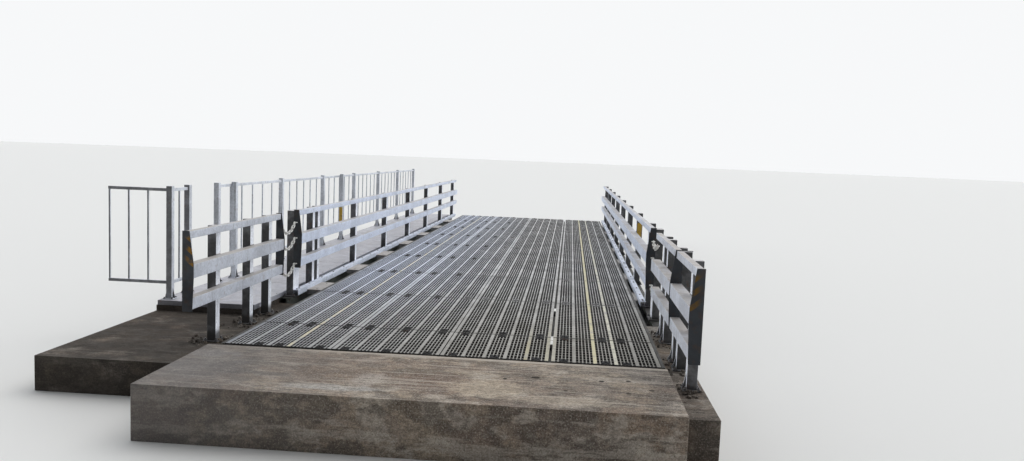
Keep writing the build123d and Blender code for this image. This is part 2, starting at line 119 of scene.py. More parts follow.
@cache
def solids(node: str) -> tuple[Solid, ...]:
    """Find the closed surfaces of a CAD node.

    A hollow post has two, its outside and the closed hollow within it.

    Args:
        node: The node's name.

    Returns:
        The box of each surface, sorted along the walkway and then across it.
    """
    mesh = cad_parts[node].data
    keys = [tuple(round(c, WELD_DIGITS) for c in vertex.co) for vertex in mesh.vertices]
    parent = {key: key for key in keys}

    def root(key: tuple) -> tuple:
        """Follow a corner to the one that stands for its surface.

        Args:
            key: The corner.

        Returns:
            The corner that stands for its surface.
        """
        while parent[key] != key:
            parent[key] = parent[parent[key]]
            key = parent[key]
        return key

    # The corners of one face belong to one surface, and so do faces that share a corner.
    for polygon in mesh.polygons:
        first = root(keys[polygon.vertices[0]])
        for index in polygon.vertices[1:]:
            parent[root(keys[index])] = first
    groups: dict[tuple, list[tuple]] = {}
    for key in parent:
        groups.setdefault(root(key), []).append(key)
    found = [Solid(Vector(map(min, zip(*g))), Vector(map(max, zip(*g)))) for g in groups.values()]
    found.sort(key=lambda s: (round(s.low.y, SORT_DIGITS), round(s.low.x, SORT_DIGITS), s.low.z))
    return tuple(found)


def deck_corner() -> Vector:
    """Return the middle of the deck's near edge, at the level of its top."""
    panels = solids("deck_row_1")
    return Vector(((panels[0].low.x + panels[-1].high.x) / 2, panels[0].low.y, panels[0].high.z))


class Graph:
    """Places and joins the nodes of one material, world or shader group."""

    def __init__(self, tree: bpy.types.NodeTree) -> None:
        """Keep the tree that the nodes go into."""
        self.tree = tree

    def feed(self, socket: Socket, value: Feed) -> None:
        """Join a socket to its source, or set its value.

        Args:
            socket: The input to feed.
            value: An output socket, a number, a vector or a colour.
        """
        if isinstance(value, Socket):
            self.tree.links.new(value, socket)
        elif socket.type == "RGBA" and len(value) == 3:
            socket.default_value = (*value, 1.0)
        else:
            socket.default_value = value

    def node(self, kind: str, feeds: dict[str | int, Feed] | None = None,
             **settings: object) -> bpy.types.Node:
        """Place one node.

        Args:
            kind: Blender's name for the node.
            feeds: What goes into its inputs, by name or number.
            **settings: Attributes of the node.

        Returns:
            The node.
        """
        made = self.tree.nodes.new(kind)
        for name, value in settings.items():
            setattr(made, name, value)
        for name, value in (feeds or {}).items():
            self.feed(made.inputs[name], value)
        return made

    def math(self, operation: str, *values: Feed, clamp: bool = False) -> Socket:
        """Return the result of one sum on numbers."""
        feeds = dict(enumerate(values))
        return self.node("ShaderNodeMath", feeds, operation=operation, use_clamp=clamp).outputs[0]

    def times(self, first: Feed, second: Feed) -> Socket:
        """Return the product of two numbers."""
        return self.math("MULTIPLY", first, second)

    def scaled(self, vector: Feed, factors: Feed) -> Socket:
        """Return a vector multiplied by another."""
        return self.node("ShaderNodeVectorMath", {0: vector, 1: factors}, operation="MULTIPLY").outputs[0]

    def axes(self, vector: Feed) -> list[Socket]:
        """Return a vector's three parts."""
        return list(self.node("ShaderNodeSeparateXYZ", {0: vector}).outputs)

    def normal(self) -> list[Socket]:
        """Return the three parts of the direction that the surface faces."""
        return self.axes(self.node("ShaderNodeNewGeometry").outputs["Normal"])

    def span(self, value: Feed, start: Feed, stop: Feed, low: float = 0.0, high: float = 1.0) -> Socket:
        """Carry a value smoothly from one range to another.

        Args:
            value: The value.
            start: The value that gives low.
            stop: The value that gives high.
            low: The result at start.
            high: The result at stop.

        Returns:
            The result, held between low and high.
        """
        feeds = {"Value": value, "From Min": start, "From Max": stop, "To Min": low, "To Max": high}
        made = self.node("ShaderNodeMapRange", feeds, interpolation_type="SMOOTHSTEP")
        return made.outputs["Result"]

    def cut(self, cover: Feed, bare: float, reach: float) -> Socket:
        """Return the random value at which patches start, lower as they cover more."""
        return self.math("SUBTRACT", bare, self.times(cover, reach))

    def mix(self, share: Feed, first: Feed, second: Feed, blend: str = "MIX") -> Socket:
        """Return a mix of two colours.

        Args:
            share: How much of the second one shows.
            first: The colour below.
            second: The colour on top.
            blend: Blender's name for the way of mixing.

        Returns:
            The mixed colour.
        """
        feeds = {0: share, 6: first, 7: second}
        return self.node("ShaderNodeMix", feeds, data_type="RGBA", blend_type=blend).outputs[2]

    def cover(self, below: Feed, above: Feed, mask: Feed, share: Feed) -> Socket:
        """Return one colour with another over it, as far as a share of the mask."""
        return self.mix(self.times(mask, share), below, above)

    def toned(self, colour: Feed, tone: Socket) -> Socket:
        """Return a colour made darker or lighter by a tone."""
        grey = self.node("ShaderNodeCombineColor", {0: tone, 1: tone, 2: tone}).outputs[0]
        return self.mix(1.0, colour, grey, "MULTIPLY")

    def noise(self, position: Feed, scale: Feed, detail: float = 5.0, rough: float = 0.6) -> Socket:
        """Return smooth random values, most of them between 0.3 and 0.7."""
        feeds = {"Vector": position, "Scale": scale, "Detail": detail, "Roughness": rough}
        return self.node("ShaderNodeTexNoise", feeds).outputs[0]

    def wander(self, position: Feed, scale: Feed, reach: Feed, detail: float = 5.0,
               rough: float = 0.6) -> Socket:
        """Return smooth random values around 0, half of reach at most."""
        value = self.noise(position, scale, detail, rough)
        return self.times(self.math("SUBTRACT", value, 0.5), reach)

    def patches(self, given: Sockets, detail: float = 5.0, rough: float = 0.6) -> Socket:
        """Return random values in patches of the size that an effect is given."""
        return self.noise(given["Position"], self.math("DIVIDE", 1.0, given["Size"]), detail, rough)


class Effect:
    """A surface effect that several finishes share, kept as one shader group."""

    name = "effect"
    takes: dict[str, float] = {}

    @classmethod
    @cache
    def group(cls) -> bpy.types.NodeTree:
        """Build the shader group when it is first used.

        Returns:
            The group, with a Position input, its own inputs and a Mask output.
        """
        tree = bpy.data.node_groups.new(cls.name, "ShaderNodeTree")
        tree.interface.new_socket("Position", in_out="INPUT", socket_type="NodeSocketVector")
        for name, value in cls.takes.items():
            socket = tree.interface.new_socket(name, in_out="INPUT", socket_type="NodeSocketFloat")
            socket.default_value = value
        tree.interface.new_socket("Mask", in_out="OUTPUT", socket_type="NodeSocketFloat")
        graph = Graph(tree)
        start = graph.node("NodeGroupInput")
        graph.node("NodeGroupOutput", {"Mask": cls.mask(graph, start.outputs)})
        return tree

    @classmethod
    def mask(cls, graph: Graph, given: Sockets) -> Socket:
        """Lay out the group's nodes and return its result."""
        raise NotImplementedError

    @classmethod
    def on(cls, graph: Graph, position: Feed, **values: Feed) -> Socket:
        """Place the effect in a material.

        Args:
            graph: The material's nodes.
            position: Where each point lies, in metres.
            **values: The effect's own values, by the names of its inputs.

        Returns:
            The effect's mask.
        """
        made = graph.node("ShaderNodeGroup", node_tree=cls.group())
        graph.feed(made.inputs["Position"], position)
        for name, value in values.items():
            graph.feed(made.inputs[name], value)
        return made.outputs["Mask"]


class Stains(Effect):
    """Soft-edged patches of one size."""

    name = "stains"
    takes = {"Size": 0.3, "Cover": 0.5, "Soft": 0.08}

    @classmethod
    def mask(cls, graph: Graph, given: Sockets) -> Socket:
        """Find the patches.

        Args:
            graph: The group's nodes.
            given: The group's inputs.

        Returns:
            1 inside the patches, 0 between them.
        """
        value = graph.patches(given, detail=7.0, rough=0.62)
        middle = graph.cut(given["Cover"], bare=0.64, reach=0.28)
        low = graph.math("SUBTRACT", middle, given["Soft"])
        high = graph.math("ADD", middle, given["Soft"])
        return graph.span(value, low, high)


class Drips(Effect):
    """Streaks that run down steep faces."""

    name = "drips"
    takes = {"Width": 0.02, "Length": 0.5, "Cover": 0.4}
    soft = 0.12

    @classmethod
    def mask(cls, graph: Graph, given: Sockets) -> Socket:
        """Find the streaks.

        Args:
            graph: The group's nodes.
            given: The group's inputs.

        Returns:
            1 inside the streaks, and nothing on level faces.
        """
        across = graph.math("DIVIDE", 1.0, given["Width"])
        down = graph.math("DIVIDE", 1.0, given["Length"])
        factors = graph.node("ShaderNodeCombineXYZ", {0: across, 1: across, 2: down}).outputs[0]
        value = graph.noise(graph.scaled(given["Position"], factors), scale=1.0, detail=3.0, rough=0.5)
        start = graph.cut(given["Cover"], bare=0.66, reach=0.25)
        streaks = graph.span(value, start, graph.math("ADD", start, cls.soft))
        up = graph.normal()[2]
        steep = graph.math("SUBTRACT", 1.0, graph.math("ABSOLUTE", up), clamp=True)
        return graph.times(streaks, steep)


class Crystals(Effect):
    """Many-sided crystals, each with a tone of its own."""

    name = "crystals"
    takes = {"Size": 0.015}

    @classmethod
    def mask(cls, graph: Graph, given: Sockets) -> Socket:
        """Find the crystals.

        Args:
            graph: The group's nodes.
            given: The group's inputs.

        Returns:
            One tone from 0 to 1 for each crystal.
        """
        feeds = {"Vector": given["Position"], "Scale": graph.math("DIVIDE", 1.0, given["Size"])}
        cells = graph.node("ShaderNodeTexVoronoi", feeds)
        return graph.node("ShaderNodeSeparateColor", {0: cells.outputs["Color"]}).outputs[0]


class Grain(Effect):
    """Fine uneven surface, as a height."""

    name = "grain"
    takes = {"Size": 0.004}

    @classmethod
    def mask(cls, graph: Graph, given: Sockets) -> Socket:
        """Return a height from 0 to 1."""
        return graph.patches(given, detail=3.0, rough=0.65)


class WornEdges(Effect):
    """Edges and corners, broken up by wear."""

    name = "worn_edges"
    takes = {"Radius": 0.004, "Size": 0.05}
    samples = 4

    @classmethod
    def mask(cls, graph: Graph, given: Sockets) -> Socket:
        """Find the edges.

        Args:
            graph: The group's nodes.
            given: The group's inputs.

        Returns:
            1 along the edges, with gaps in it.
        """
        rounded = graph.node("ShaderNodeBevel", {"Radius": given["Radius"]}, samples=cls.samples).outputs[0]
        plain = graph.node("ShaderNodeNewGeometry").outputs["Normal"]
        along = graph.node("ShaderNodeVectorMath", {0: rounded, 1: plain}, operation="DOT_PRODUCT")
        edge = graph.span(along.outputs["Value"], start=0.995, stop=0.9)
        broken = graph.patches(given, detail=4.0)
        return graph.times(edge, graph.span(broken, start=0.4, stop=0.6))


class SettledDust(Effect):
    """Dust that has settled on the faces that look up."""

    name = "settled_dust"
    takes = {"Size": 0.2}

    @classmethod
    def mask(cls, graph: Graph, given: Sockets) -> Socket:
        """Find the dust.

        Args:
            graph: The group's nodes.
            given: The group's inputs.

        Returns:
            Up to 1 on the faces that look up.
        """
        facing = graph.span(graph.normal()[2], start=0.55, stop=0.95)
        patches = graph.patches(given, detail=6.0)
        return graph.times(facing, graph.span(patches, start=0.25, stop=0.6, low=0.35))


class PaintedNearShade(Effect):
    """Painted shade on the faces that look back towards the slab."""

    name = "painted_near_shade"
    takes = {"Size": 0.25}

    @classmethod
    def mask(cls, graph: Graph, given: Sockets) -> Socket:
        """Find the painted shade.

        Args:
            graph: The group's nodes.
            given: The group's inputs.

        Returns:
            Up to 1 on the faces that look towards the slab.
        """
        facing = graph.span(graph.normal()[1], start=-0.45, stop=-0.95)
        patches = graph.patches(given)
        return graph.times(facing, graph.span(patches, start=0.15, stop=0.6, low=0.75))


class PaintedOuterShade(Effect):
    """Painted shade on the faces that look away from the walkway or along it, away from the slab, which
    leaves the brighter base only on the faces towards the walkway.
    """

    name = "painted_outer_shade"
    takes = {"Outward": 1.0, "Size": 0.3}

    @classmethod
    def mask(cls, graph: Graph, given: Sockets) -> Socket:
        """Find the painted shade.

        Args:
            graph: The group's nodes.
            given: The group's inputs.

        Returns:
            Up to 1 on the faces that look outward, and on those that look away from the slab.
        """
        across, along, _ = graph.normal()
        away = graph.math("MAXIMUM", graph.times(across, given["Outward"]), along)
        facing = graph.span(away, start=0.45, stop=0.95)
        patches = graph.patches(given)
        return graph.times(facing, graph.span(patches, start=0.15, stop=0.6, low=0.7))


class SlantedStripes(Effect):
    """Stripes that slant on an upright plate across the walkway."""

    name = "slanted_stripes"
    takes = {"Width": 0.06, "Slant": 1.0}

    @classmethod
    def mask(cls, graph: Graph, given: Sockets) -> Socket:
        """Find the stripes.

        Args:
            graph: The group's nodes.
            given: The group's inputs.

        Returns:
            1 on every other stripe.
        """
        across, _, height = graph.axes(given["Position"])
        slope = graph.math("ADD", height, graph.times(across, given["Slant"]))
        turns = graph.math("FRACT", graph.math("DIVIDE", slope, graph.times(given["Width"], 2.0)))
        from_middle = graph.math("ABSOLUTE", graph.math("SUBTRACT", turns, 0.5))
        return graph.span(from_middle, start=0.21, stop=0.29)


class OvalStain(Effect):
    """One wide stain at a place of its own, seen from above."""

    name = "oval_stain"
    takes = {"X": 0.0, "Y": 0.0, "Half Width": 0.3, "Half Length": 0.3, "Wander": 1.6}

    @classmethod
    def mask(cls, graph: Graph, given: Sockets) -> Socket:
        """Find the stain.

        Args:
            graph: The group's nodes.
            given: The group's inputs.

        Returns:
            1 in the middle of the stain, and less towards its uneven edge.
        """
        across, along, _ = graph.axes(given["Position"])
        beside = graph.math("DIVIDE", graph.math("SUBTRACT", across, given["X"]), given["Half Width"])
        before = graph.math("DIVIDE", graph.math("SUBTRACT", along, given["Y"]), given["Half Length"])
        squares = graph.math("ADD", graph.math("POWER", beside, 2.0), graph.math("POWER", before, 2.0))
        uneven = graph.wander(given["Position"], scale=7.0, reach=given["Wander"], detail=7.0, rough=0.65)
        away = graph.math("ADD", graph.math("SQRT", squares), uneven)
        return graph.span(away, start=1.1, stop=0.6)


@dataclass(frozen=True)
class Layer:
    """Soft-edged patches of one colour, longest along the axis whose stretch is smallest."""

    colour: Colour
    size: float
    cover: float
    soft: float
    share: float = 1.0
    stretch: Triple | None = None

    def mask(self, graph: Graph, place: Socket) -> Socket:
        """Return 1 inside the patches, 0 between them."""
        spread = graph.scaled(place, self.stretch) if self.stretch else place
        return Stains.on(graph, spread, Size=self.size, Cover=self.cover, Soft=self.soft)

    def over(self, graph: Graph, place: Socket, below: Feed) -> Socket:
        """Lay the patches over a colour.

        Args:
            graph: The material's nodes.
            place: Where each point lies.
            below: The colour below them.

        Returns:
            The colour with the patches on it.
        """
        return graph.cover(below, self.colour, self.mask(graph, place), self.share)


@dataclass(frozen=True)
class Stain:
    """A stain: its middle, half of its width and length, its colour, its strength and how uneven it is."""

    x: float
    y: float
    half_width: float
    half_length: float
    colour: Colour
    share: float
    wander: float = 1.6

    def over(self, graph: Graph, place: Socket, below: Feed) -> Socket:
        """Lay the stain over a colour.

        Args:
            graph: The material's nodes.
            place: Where each point lies.
            below: The colour below it.

        Returns:
            The colour with the stain on it.
        """
        halves = {"Half Width": self.half_width, "Half Length": self.half_length}
        mask = OvalStain.on(graph, place, X=self.x, Y=self.y, Wander=self.wander, **halves)
        return graph.cover(below, self.colour, mask, self.share)


def spot(x: float, y: float, half_width: float, half_length: float, share: float,
         colour: Colour = (0.022, 0.018, 0.015)) -> Stain:
    """Return a small dark stain whose edge is nearly even."""
    return Stain(x, y, half_width, half_length, colour, share, wander=0.5)


def laid(graph: Graph, place: Socket, below: Feed, layers: Iterable[Layer | Stain]) -> Feed:
    """Lay several layers or stains over a colour.

    Args:
        graph: The material's nodes.
        place: Where each point lies.
        below: The colour below them.
        layers: What lies over it, from the lowest.

    Returns:
        The colour with all of them on it.
    """
    for layer in layers:
        below = layer.over(graph, place, below)
    return below


@dataclass(frozen=True)
class Finish:
    """A surface finish: its name and the values that every finish has."""

    name: str
    base: Colour = (0.5, 0.5, 0.5)
    metallic: float = 0.0
    rough: float = 0.6
    specular: float = 0.4
    smoother: float = 0.1
    rougher: float = 0.12
    grain: float = 0.004
    relief: float = 0.0004
    bump: float = 0.6

    def colour(self, graph: Graph, place: Socket) -> Socket:
        """Return the colour over the surface."""
        raise NotImplementedError

    def height(self, graph: Graph, place: Socket) -> Socket:
        """Return the height over the surface, from 0 to 1."""
        return Grain.on(graph, place, Size=self.grain)

    def roughness(self, graph: Graph, place: Socket) -> Socket:
        """Find the roughness, duller in patches.

        Args:
            graph: The material's nodes.
            place: Where each point lies.

        Returns:
            The roughness over the surface.
        """
        patches = graph.noise(place, scale=9.0, detail=4.0)
        dullest = min(1.0, self.rough + self.rougher)
        return graph.span(patches, start=0.3, stop=0.7, low=self.rough - self.smoother, high=dullest)

    @cache
    def material(self) -> bpy.types.Material:
        """Build the material when it is first used.

        Returns:
            The material.
        """
        made = bpy.data.materials.new(self.name)
        made.use_nodes = True
        made.node_tree.nodes.clear()
        graph = Graph(made.node_tree)
        place = graph.node("ShaderNodeTexCoord").outputs["Object"]
        shader = graph.node("ShaderNodeBsdfPrincipled", {
            "Base Color": self.colour(graph, place),
            "Metallic": self.metallic,
            "Roughness": self.roughness(graph, place),
            "Specular IOR Level": self.specular,
        })
        bump = graph.node("ShaderNodeBump", {
            "Strength": self.bump,
            "Distance": self.relief,
            "Height": self.height(graph, place),
        })
        graph.feed(shader.inputs["Normal"], bump.outputs["Normal"])
        graph.node("ShaderNodeOutputMaterial", {"Surface": shader.outputs["BSDF"]})
        return made


@dataclass(frozen=True)
class GalvanisedSteel(Finish):
    """Zinc-coated steel: crystals, dull patches, drips, grime, a little rust, and painted shade on the faces
    towards the slab and outward.
    """

    dull: Colour = (0.30, 0.31, 0.33)
    # The dark colour of the drips, of the splashed dirt and of the painted shade on the faces towards the
    # slab.
    grime_and_shade: Colour = (0.055, 0.052, 0.05)
    rust_colour: Colour = (0.20, 0.075, 0.025)
    crystal: float = 0.016
    patch: float = 0.4
    dull_cover: float = 0.4
    drip_share: float = 0.35
    edge_tone: Colour = (0.72, 0.73, 0.75)
    edge_share: float = 0.55
    dust: Colour = (0.36, 0.32, 0.28)
    dust_share: float = 0.0
    # How strongly painted shade covers the faces towards the slab, and where along the walkway it fades out.
    near_shade_share: float = 0.75
    near_shade_until: float = 0.0
    near_shade_fade: float = 0.0
    # The darker tone of the painted shade on the outer faces, and how strongly it covers them.
    outer_shade_tone: Colour = (0.30, 0.31, 0.33)
    outer_shade_share: float = 0.85
    outward: float = 0.0
    rust_share: float = 0.3
    rust_cover: float = 0.0
    ground: float = 0.0
    splash: float = 0.0
    splash_share: float = 0.85

    def colour(self, graph: Graph, place: Socket) -> Socket:
        """Lay the wear and the painted shade over the zinc.

        Args:
            graph: The material's nodes.
            place: Where each point lies.

        Returns:
            The colour over the surface.
        """
        dull = Layer(self.dull, size=self.patch, cover=self.dull_cover, soft=0.16)
        zinc = dull.over(graph, place, self.base)
        crystals = Crystals.on(graph, place, Size=self.crystal)
        zinc = graph.toned(zinc, graph.span(crystals, start=0.0, stop=1.0, low=0.9, high=1.08))
        drips = Drips.on(graph, place, Width=0.018, Length=0.5, Cover=0.35)
        zinc = graph.cover(zinc, self.grime_and_shade, drips, self.drip_share)
        edges = WornEdges.on(graph, place, Radius=0.003, Size=0.06)
        zinc = graph.cover(zinc, self.edge_tone, edges, self.edge_share)
        settled = SettledDust.on(graph, place, Size=0.25)
        zinc = graph.cover(zinc, self.dust, settled, self.dust_share)
        # Painted shade on the faces that look towards the slab, fading out along the walkway where a fade
        # length is given.
        near_shade = PaintedNearShade.on(graph, place, Size=0.2)
        if self.near_shade_fade:
            along = graph.axes(place)[1]
            near = graph.span(along, self.near_shade_until - self.near_shade_fade, self.near_shade_until, low=1.0, high=0.0)
            near_shade = graph.times(near_shade, near)
        zinc = graph.cover(zinc, self.grime_and_shade, near_shade, self.near_shade_share)
        # Painted shade: a darker tone on the faces that look outward and away from the slab.
        if self.outward:
            outer = PaintedOuterShade.on(graph, place, Outward=self.outward)
            zinc = graph.cover(zinc, self.outer_shade_tone, outer, self.outer_shade_share)
        rust = Layer(self.rust_colour, size=0.07, cover=self.rust_cover, soft=0.05, share=self.rust_share)
        zinc = rust.over(graph, place, zinc)
        return self.splashed(graph, place, zinc) if self.splash else zinc

    def splashed(self, graph: Graph, place: Socket, zinc: Socket) -> Socket:
        """Lay the dirt that has splashed up from the ground over the zinc.

        Args:
            graph: The material's nodes.
            place: Where each point lies.
            zinc: The colour below it.

        Returns:
            The colour with the dirt on it.
        """
        height = graph.axes(place)[2]
        uneven = graph.math("ADD", height, graph.wander(place, scale=18.0, reach=self.splash))
        dirt = graph.span(uneven, self.ground + self.splash, self.ground, high=self.splash_share)
        return graph.mix(dirt, zinc, self.grime_and_shade)


@dataclass(frozen=True)
class Stripe:
    """A painted line along the walkway: its edges, its colour, how much is left and how far it runs."""

    left: float
    right: float
    colour: Colour
    left_over: float
    reach: float


@dataclass(frozen=True)
class DeckSteel(Finish):
    """Trodden grating steel, pale on top and painted dark in between as shade and dirt, with a painted sky
    reflection over the left lanes and worn painted lines.
    """

    dull: Colour = (0.30, 0.30, 0.305)
    # The dark colour of the dirt patches and of the painted shade in the gaps and below the top.
    grime_and_shade: Colour = (0.010, 0.009, 0.008)
    top: float = 0.0
    # Below the top, the steel is pale as far as the first depth, and black from the second: painted shade
    # between the bars, with dirt.
    pale_depth: float = 0.002
    dark_depth: float = 0.006
    near_edge: float = 0.0
    # The near edge and each joint are black as far as the first size, and clear from the second: painted
    # shade in the gaps, with dirt.
    edge_dark: float = 0.009
    edge_clear: float = 0.016
    first_joint: float = 0.0
    joint_pitch: float = 1.8
    joint_dark: float = 0.0096
    joint_clear: float = 0.0156
    walked_in: Colour = (0.22, 0.20, 0.155)
    trodden_length: float = 5.0
    trodden_share: float = 0.6
    # A painted sky reflection: a pale blue over the left lanes, weaker near the slab.
    left_lanes: Colour = (0.67, 0.73, 0.88)
    sheen_side: float = 0.0
    sheen_width: float = 2.2
    sheen_share: float = 0.85
    sheen_near: float = 0.25
    stripes: tuple[Stripe, ...] = ()

    def colour(self, graph: Graph, place: Socket) -> Socket:
        """Lay wear, paint and a painted sky reflection over the steel, and painted shade with dirt into the
        gaps.

        Args:
            graph: The material's nodes.
            place: Where each point lies.

        Returns:
            The colour over the surface.
        """
        steel = laid(graph, place, self.base, (
            Layer(self.dull, size=0.5, cover=0.45, soft=0.2),
            Layer(self.grime_and_shade, size=0.06, cover=0.3, soft=0.1, share=0.35),
        ))
        across, along, height = graph.axes(place)
        far = self.near_edge + self.trodden_length
        trodden = graph.span(along, far, self.near_edge, high=self.trodden_share)
        steel = graph.mix(trodden, steel, self.walked_in)
        # Painted sky reflection: paler and bluer over the left lanes, and stronger further from the slab.
        sky_sheen = graph.span(across, self.sheen_side + self.sheen_width, self.sheen_side,
                           high=self.sheen_share)
        sky_sheen = graph.times(sky_sheen, graph.span(along, self.near_edge, far, low=self.sheen_near))
        steel = graph.mix(sky_sheen, steel, self.left_lanes)
        for stripe in self.stripes:
            steel = self.painted(graph, place, steel, stripe)
        # The sides of the bars below the top, the near edge and the joints are painted dark: painted shade,
        # with some dirt.
        below = graph.span(height, self.top - self.pale_depth, self.top - self.dark_depth)
        first = graph.span(along, self.near_edge + self.edge_clear, self.near_edge + self.edge_dark)
        turns = graph.math("DIVIDE", graph.math("SUBTRACT", along, self.first_joint), self.joint_pitch)
        away = graph.math("ABSOLUTE", graph.math("SUBTRACT", turns, graph.math("ROUND", turns)))
        joint = graph.span(graph.times(away, self.joint_pitch), self.joint_clear, self.joint_dark)
        dark = graph.math("MAXIMUM", graph.math("MAXIMUM", below, first), joint)
        return graph.mix(dark, steel, self.grime_and_shade)

    def painted(self, graph: Graph, place: Socket, steel: Socket, stripe: Stripe) -> Socket:
        """Lay one painted line over the steel.

        Args:
            graph: The material's nodes.
            place: Where each point lies.
            steel: The colour below it.
            stripe: The line.

        Returns:
            The colour with the line on it.
        """
        across, along, _ = graph.axes(place)
        inside = graph.times(graph.math("GREATER_THAN", across, stripe.left),
                             graph.math("LESS_THAN", across, stripe.right))
        inside = graph.times(inside, graph.span(along, self.near_edge + stripe.reach, self.near_edge))
        worn = Stains.on(graph, place, Size=0.09, Cover=stripe.left_over, Soft=0.12)
        return graph.cover(steel, stripe.colour, inside, worn)


@dataclass(frozen=True)
class WeatheredPlate(Finish):
    """Dark weathered plate, with worn slanting stripes on its upper half."""

    faded: Colour = (0.075, 0.08, 0.085)
    paint: Colour = (0.22, 0.10, 0.02)
    rust_colour: Colour = (0.09, 0.05, 0.03)
    stripe_from: float = 0.0
    stripe_to: float = 0.0
    stripe_soft: float = 0.02
    striped_until: float = 0.0
    facing_slab: float = -0.7
    bare_side: float = 0.0
    painted_side: float = 1.0
    stripe: float = 0.05
    slant: float = 1.0

    def colour(self, graph: Graph, place: Socket) -> Socket:
        """Lay stripes and rust over the plate.

        Args:
            graph: The material's nodes.
            place: Where each point lies.

        Returns:
            The colour over the surface.
        """
        plate = Layer(self.faded, size=0.22, cover=0.5, soft=0.2).over(graph, place, self.base)
        across, along, height = graph.axes(place)
        stripes = SlantedStripes.on(graph, place, Width=self.stripe, Slant=self.slant)
        left_over = Stains.on(graph, place, Size=0.07, Cover=0.6, Soft=0.1)
        low = graph.span(height, self.stripe_from, self.stripe_from + self.stripe_soft)
        high = graph.span(height, self.stripe_to, self.stripe_to - self.stripe_soft)
        near = graph.times(graph.math("LESS_THAN", along, self.striped_until),
                           graph.math("LESS_THAN", graph.normal()[1], self.facing_slab))
        shown = graph.times(graph.times(stripes, left_over), graph.times(low, high))
        shown = graph.times(shown, graph.span(across, self.bare_side, self.painted_side))
        plate = graph.cover(plate, self.paint, shown, near)
        return Layer(self.rust_colour, size=0.06, cover=0.2, soft=0.1, share=0.4).over(graph, place, plate)


